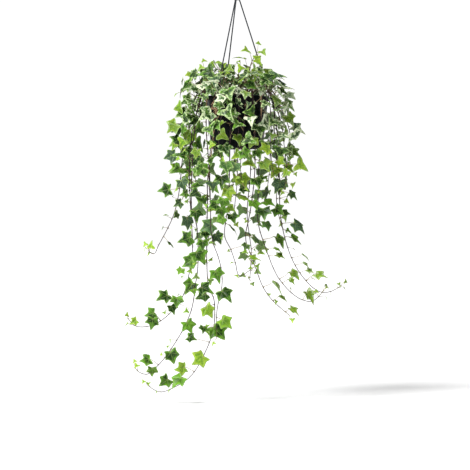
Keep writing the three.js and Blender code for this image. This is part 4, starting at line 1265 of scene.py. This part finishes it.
def make_hook(material):
    """The hook: a turned hub over the beads, and a wire bent open round the bearing point."""
    hub = rounded([
        (0, HUB_BOTTOM_Z + 0.0012),
        (HUB_RADIUS - 0.0030, HUB_BOTTOM_Z + 0.0012),
        (HUB_RADIUS - 0.0022, HUB_BOTTOM_Z),
        (HUB_RADIUS - 0.0008, HUB_BOTTOM_Z),
        (HUB_RADIUS, HUB_BOTTOM_Z + 0.0012),
        (HUB_RADIUS, HUB_TOP_Z - 0.0022),
        (HUB_RADIUS - 0.0022, HUB_TOP_Z),
        (0.0042, HUB_TOP_Z + 0.0006),
        (0.0030, HUB_TOP_Z + 0.0030),
        (0, HUB_TOP_Z + 0.0030),
    ], ROUNDING)
    piece = Piece()
    piece.add(*turned(hub, HUB_SIDES))
    bend = HOOK_WIRE_RADIUS - HOOK_BEND_RADIUS
    marks = [
        (0, HUB_TOP_Z - 0.0015),
        (0, HUB_TOP_Z + 0.0025),
        (0.0045, bend - 0.0165),
        (0.0115, bend - 0.0105),
    ]
    for angle in range(0, HOOK_OPEN_ANGLE + 1, 20):
        turn = math.radians(angle)
        reach = HOOK_BEND_RADIUS
        marks.append((reach * math.cos(turn), bend + reach * math.sin(turn)))
    line, _ = smooth_line([(x, 0, z) for x, z in marks], HOOK_STEP)
    radii = np.full(len(line), HOOK_WIRE_RADIUS)
    radii[-2:] = (0.93 * HOOK_WIRE_RADIUS, 0.7 * HOOK_WIRE_RADIUS)
    piece.add(*tube(line, radii, HOOK_SIDES, (0.0, 1.0, 0.0)))
    piece.make("hanger_hook_wire", [material], ["hanger_hook"], smooth_angle=40)


# Soil


def soil_top(radius):
    """The height of the soil's dome at a radius."""
    edge = WALL_TOP_RADIUS - POT_WALL
    return RIM_Z - SOIL_DROP + SOIL_DOME * (1 - (radius / edge) ** 2)


def unit_ball():
    """The points and triangles of a coarse ball of radius 1."""
    ball = bmesh.new()
    bmesh.ops.create_icosphere(ball, subdivisions=1, radius=1.0)
    ball.verts.index_update()
    points = np.array([vertex.co for vertex in ball.verts])
    triangles = np.array([[vertex.index for vertex in face.verts] for face in ball.faces])
    ball.free()
    return points, triangles


def make_soil(soil, perlite):
    """A rough dome of soil with crumbs and a few white grains on it."""
    low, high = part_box("potting_soil")
    edge = high.x
    floor = BASE_RADIUS - POT_WALL - 0.0006
    random = np.random.default_rng([SEED, SOIL_SEED])
    shares = np.linspace(0, 1, SOIL_RINGS + 1)[1:]
    profile = [(0, low.z), (floor, low.z)]
    profile += [(edge * share, soil_top(edge * share)) for share in shares[::-1]]
    profile += [(0, soil_top(0))]
    points, faces = turned(profile, SOIL_SIDES)
    ripple = SOIL_ROUGHNESS * random.standard_normal(len(points)).clip(-1.6, 1.6)
    shaken = np.hypot(points[:, 0], points[:, 1]) < edge - 0.0005
    shaken &= points[:, 2] > low.z + 0.01
    points[:, 2] += np.where(shaken, ripple, 0)
    bed = Piece()
    bed.add(points, faces)
    bed.make("soil_bed", [soil], ["potting_soil"])

    crumbs = Piece()
    grains = Piece()
    shape, triangles = unit_ball()
    for crumb in range(SOIL_CRUMBS):
        radius = (edge - 0.003) * math.sqrt(random.random())
        centre = around(radius, 360 * random.random(), soil_top(radius) + 0.0004)
        size = random.uniform(*CRUMB_SIZES)
        rough = 1 + 0.35 * random.standard_normal((len(shape), 1)).clip(-1.5, 1.5)
        stretch = random.uniform(0.6, 1.3, 3)
        kind = grains if crumb % GRAIN_EVERY == 0 else crumbs
        kind.add(centre + size * shape * rough * stretch, [triangles])
    crumbs.make("soil_crumbs", [soil], ["potting_soil"])
    grains.make("soil_perlite", [perlite], ["potting_soil"])


# Studio


def make_camera():
    """Looks level along +Y at the middle of the picture."""
    x, z = PICTURE_MIDDLE
    camera = new_object("camera", bpy.data.cameras.new("camera"))
    camera.data.sensor_width = SENSOR_WIDTH
    camera.data.lens = SENSOR_WIDTH * CAMERA_DISTANCE / PICTURE_SIDE
    camera.data.clip_end = CAMERA_CLIP
    camera.location = (x, -CAMERA_DISTANCE, z)
    camera.rotation_euler = (math.pi / 2, 0, 0)
    bpy.context.scene.camera = camera


def make_floor():
    """A wide pale disc under the plant, which glows a little."""
    shader = Shader("studio_floor", 0.9, 0.1)
    shader.put(FLOOR_GLOW, shader.surface["Emission Strength"])
    shader.put(WHITE, shader.surface["Emission Color"])
    grain = shader.noise(shader.place(), 3.0)
    shader.colour(shader.mix(grain, (0.86, 0.86, 0.86, 1), (0.88, 0.88, 0.88, 1)))
    turns = np.linspace(0, 360, FLOOR_SIDES, endpoint=False)
    mesh = bpy.data.meshes.new("studio_floor")
    corners = [around(FLOOR_RADIUS, turn, FLOOR_Z) for turn in turns]
    mesh.from_pydata(corners, [], [list(range(FLOOR_SIDES))])
    mesh.materials.append(shader.material)
    floor = new_object("studio_floor", mesh)


def make_surroundings():
    """White light from all round, dimmer with height."""
    world = bpy.data.worlds.new("studio")
    world.use_nodes = True
    graph = Graph(world.node_tree)
    way = graph.node("TexCoord").outputs["Generated"]
    rise = graph.math("ABSOLUTE", graph.height(way))
    dimming = {"Value": rise, 1: LIGHT_EDGE, 2: DARK_EDGE, 3: HORIZON_LIGHT, 4: OVERHEAD_LIGHT}
    background = graph.tree.nodes["Background"].inputs
    graph.put(WHITE, background["Color"])
    graph.put(graph.node("MapRange", dimming).outputs[0], background["Strength"])
    bpy.context.scene.world = world


def make_sun():
    """One soft key light."""
    light = bpy.data.lights.new("key", "SUN")
    light.energy = SUN_STRENGTH
    light.angle = math.radians(SUN_SOFTNESS)
    lamp = new_object("key", light)
    lamp.rotation_euler = SUN_WAY.to_track_quat("-Z", "Y").to_euler()


def make_studio():
    make_floor()
    make_surroundings()
    make_sun()
    bpy.context.scene.view_settings.view_transform = "Standard"


make_camera()
make_studio()
make_pot(pot_material())
hanger = hanger_material()
for side, azimuth in EAR_AZIMUTHS.items():
    make_strand(side, azimuth, hanger)
make_hook(hanger)
make_soil(soil_material(), perlite_material())
make_plant()
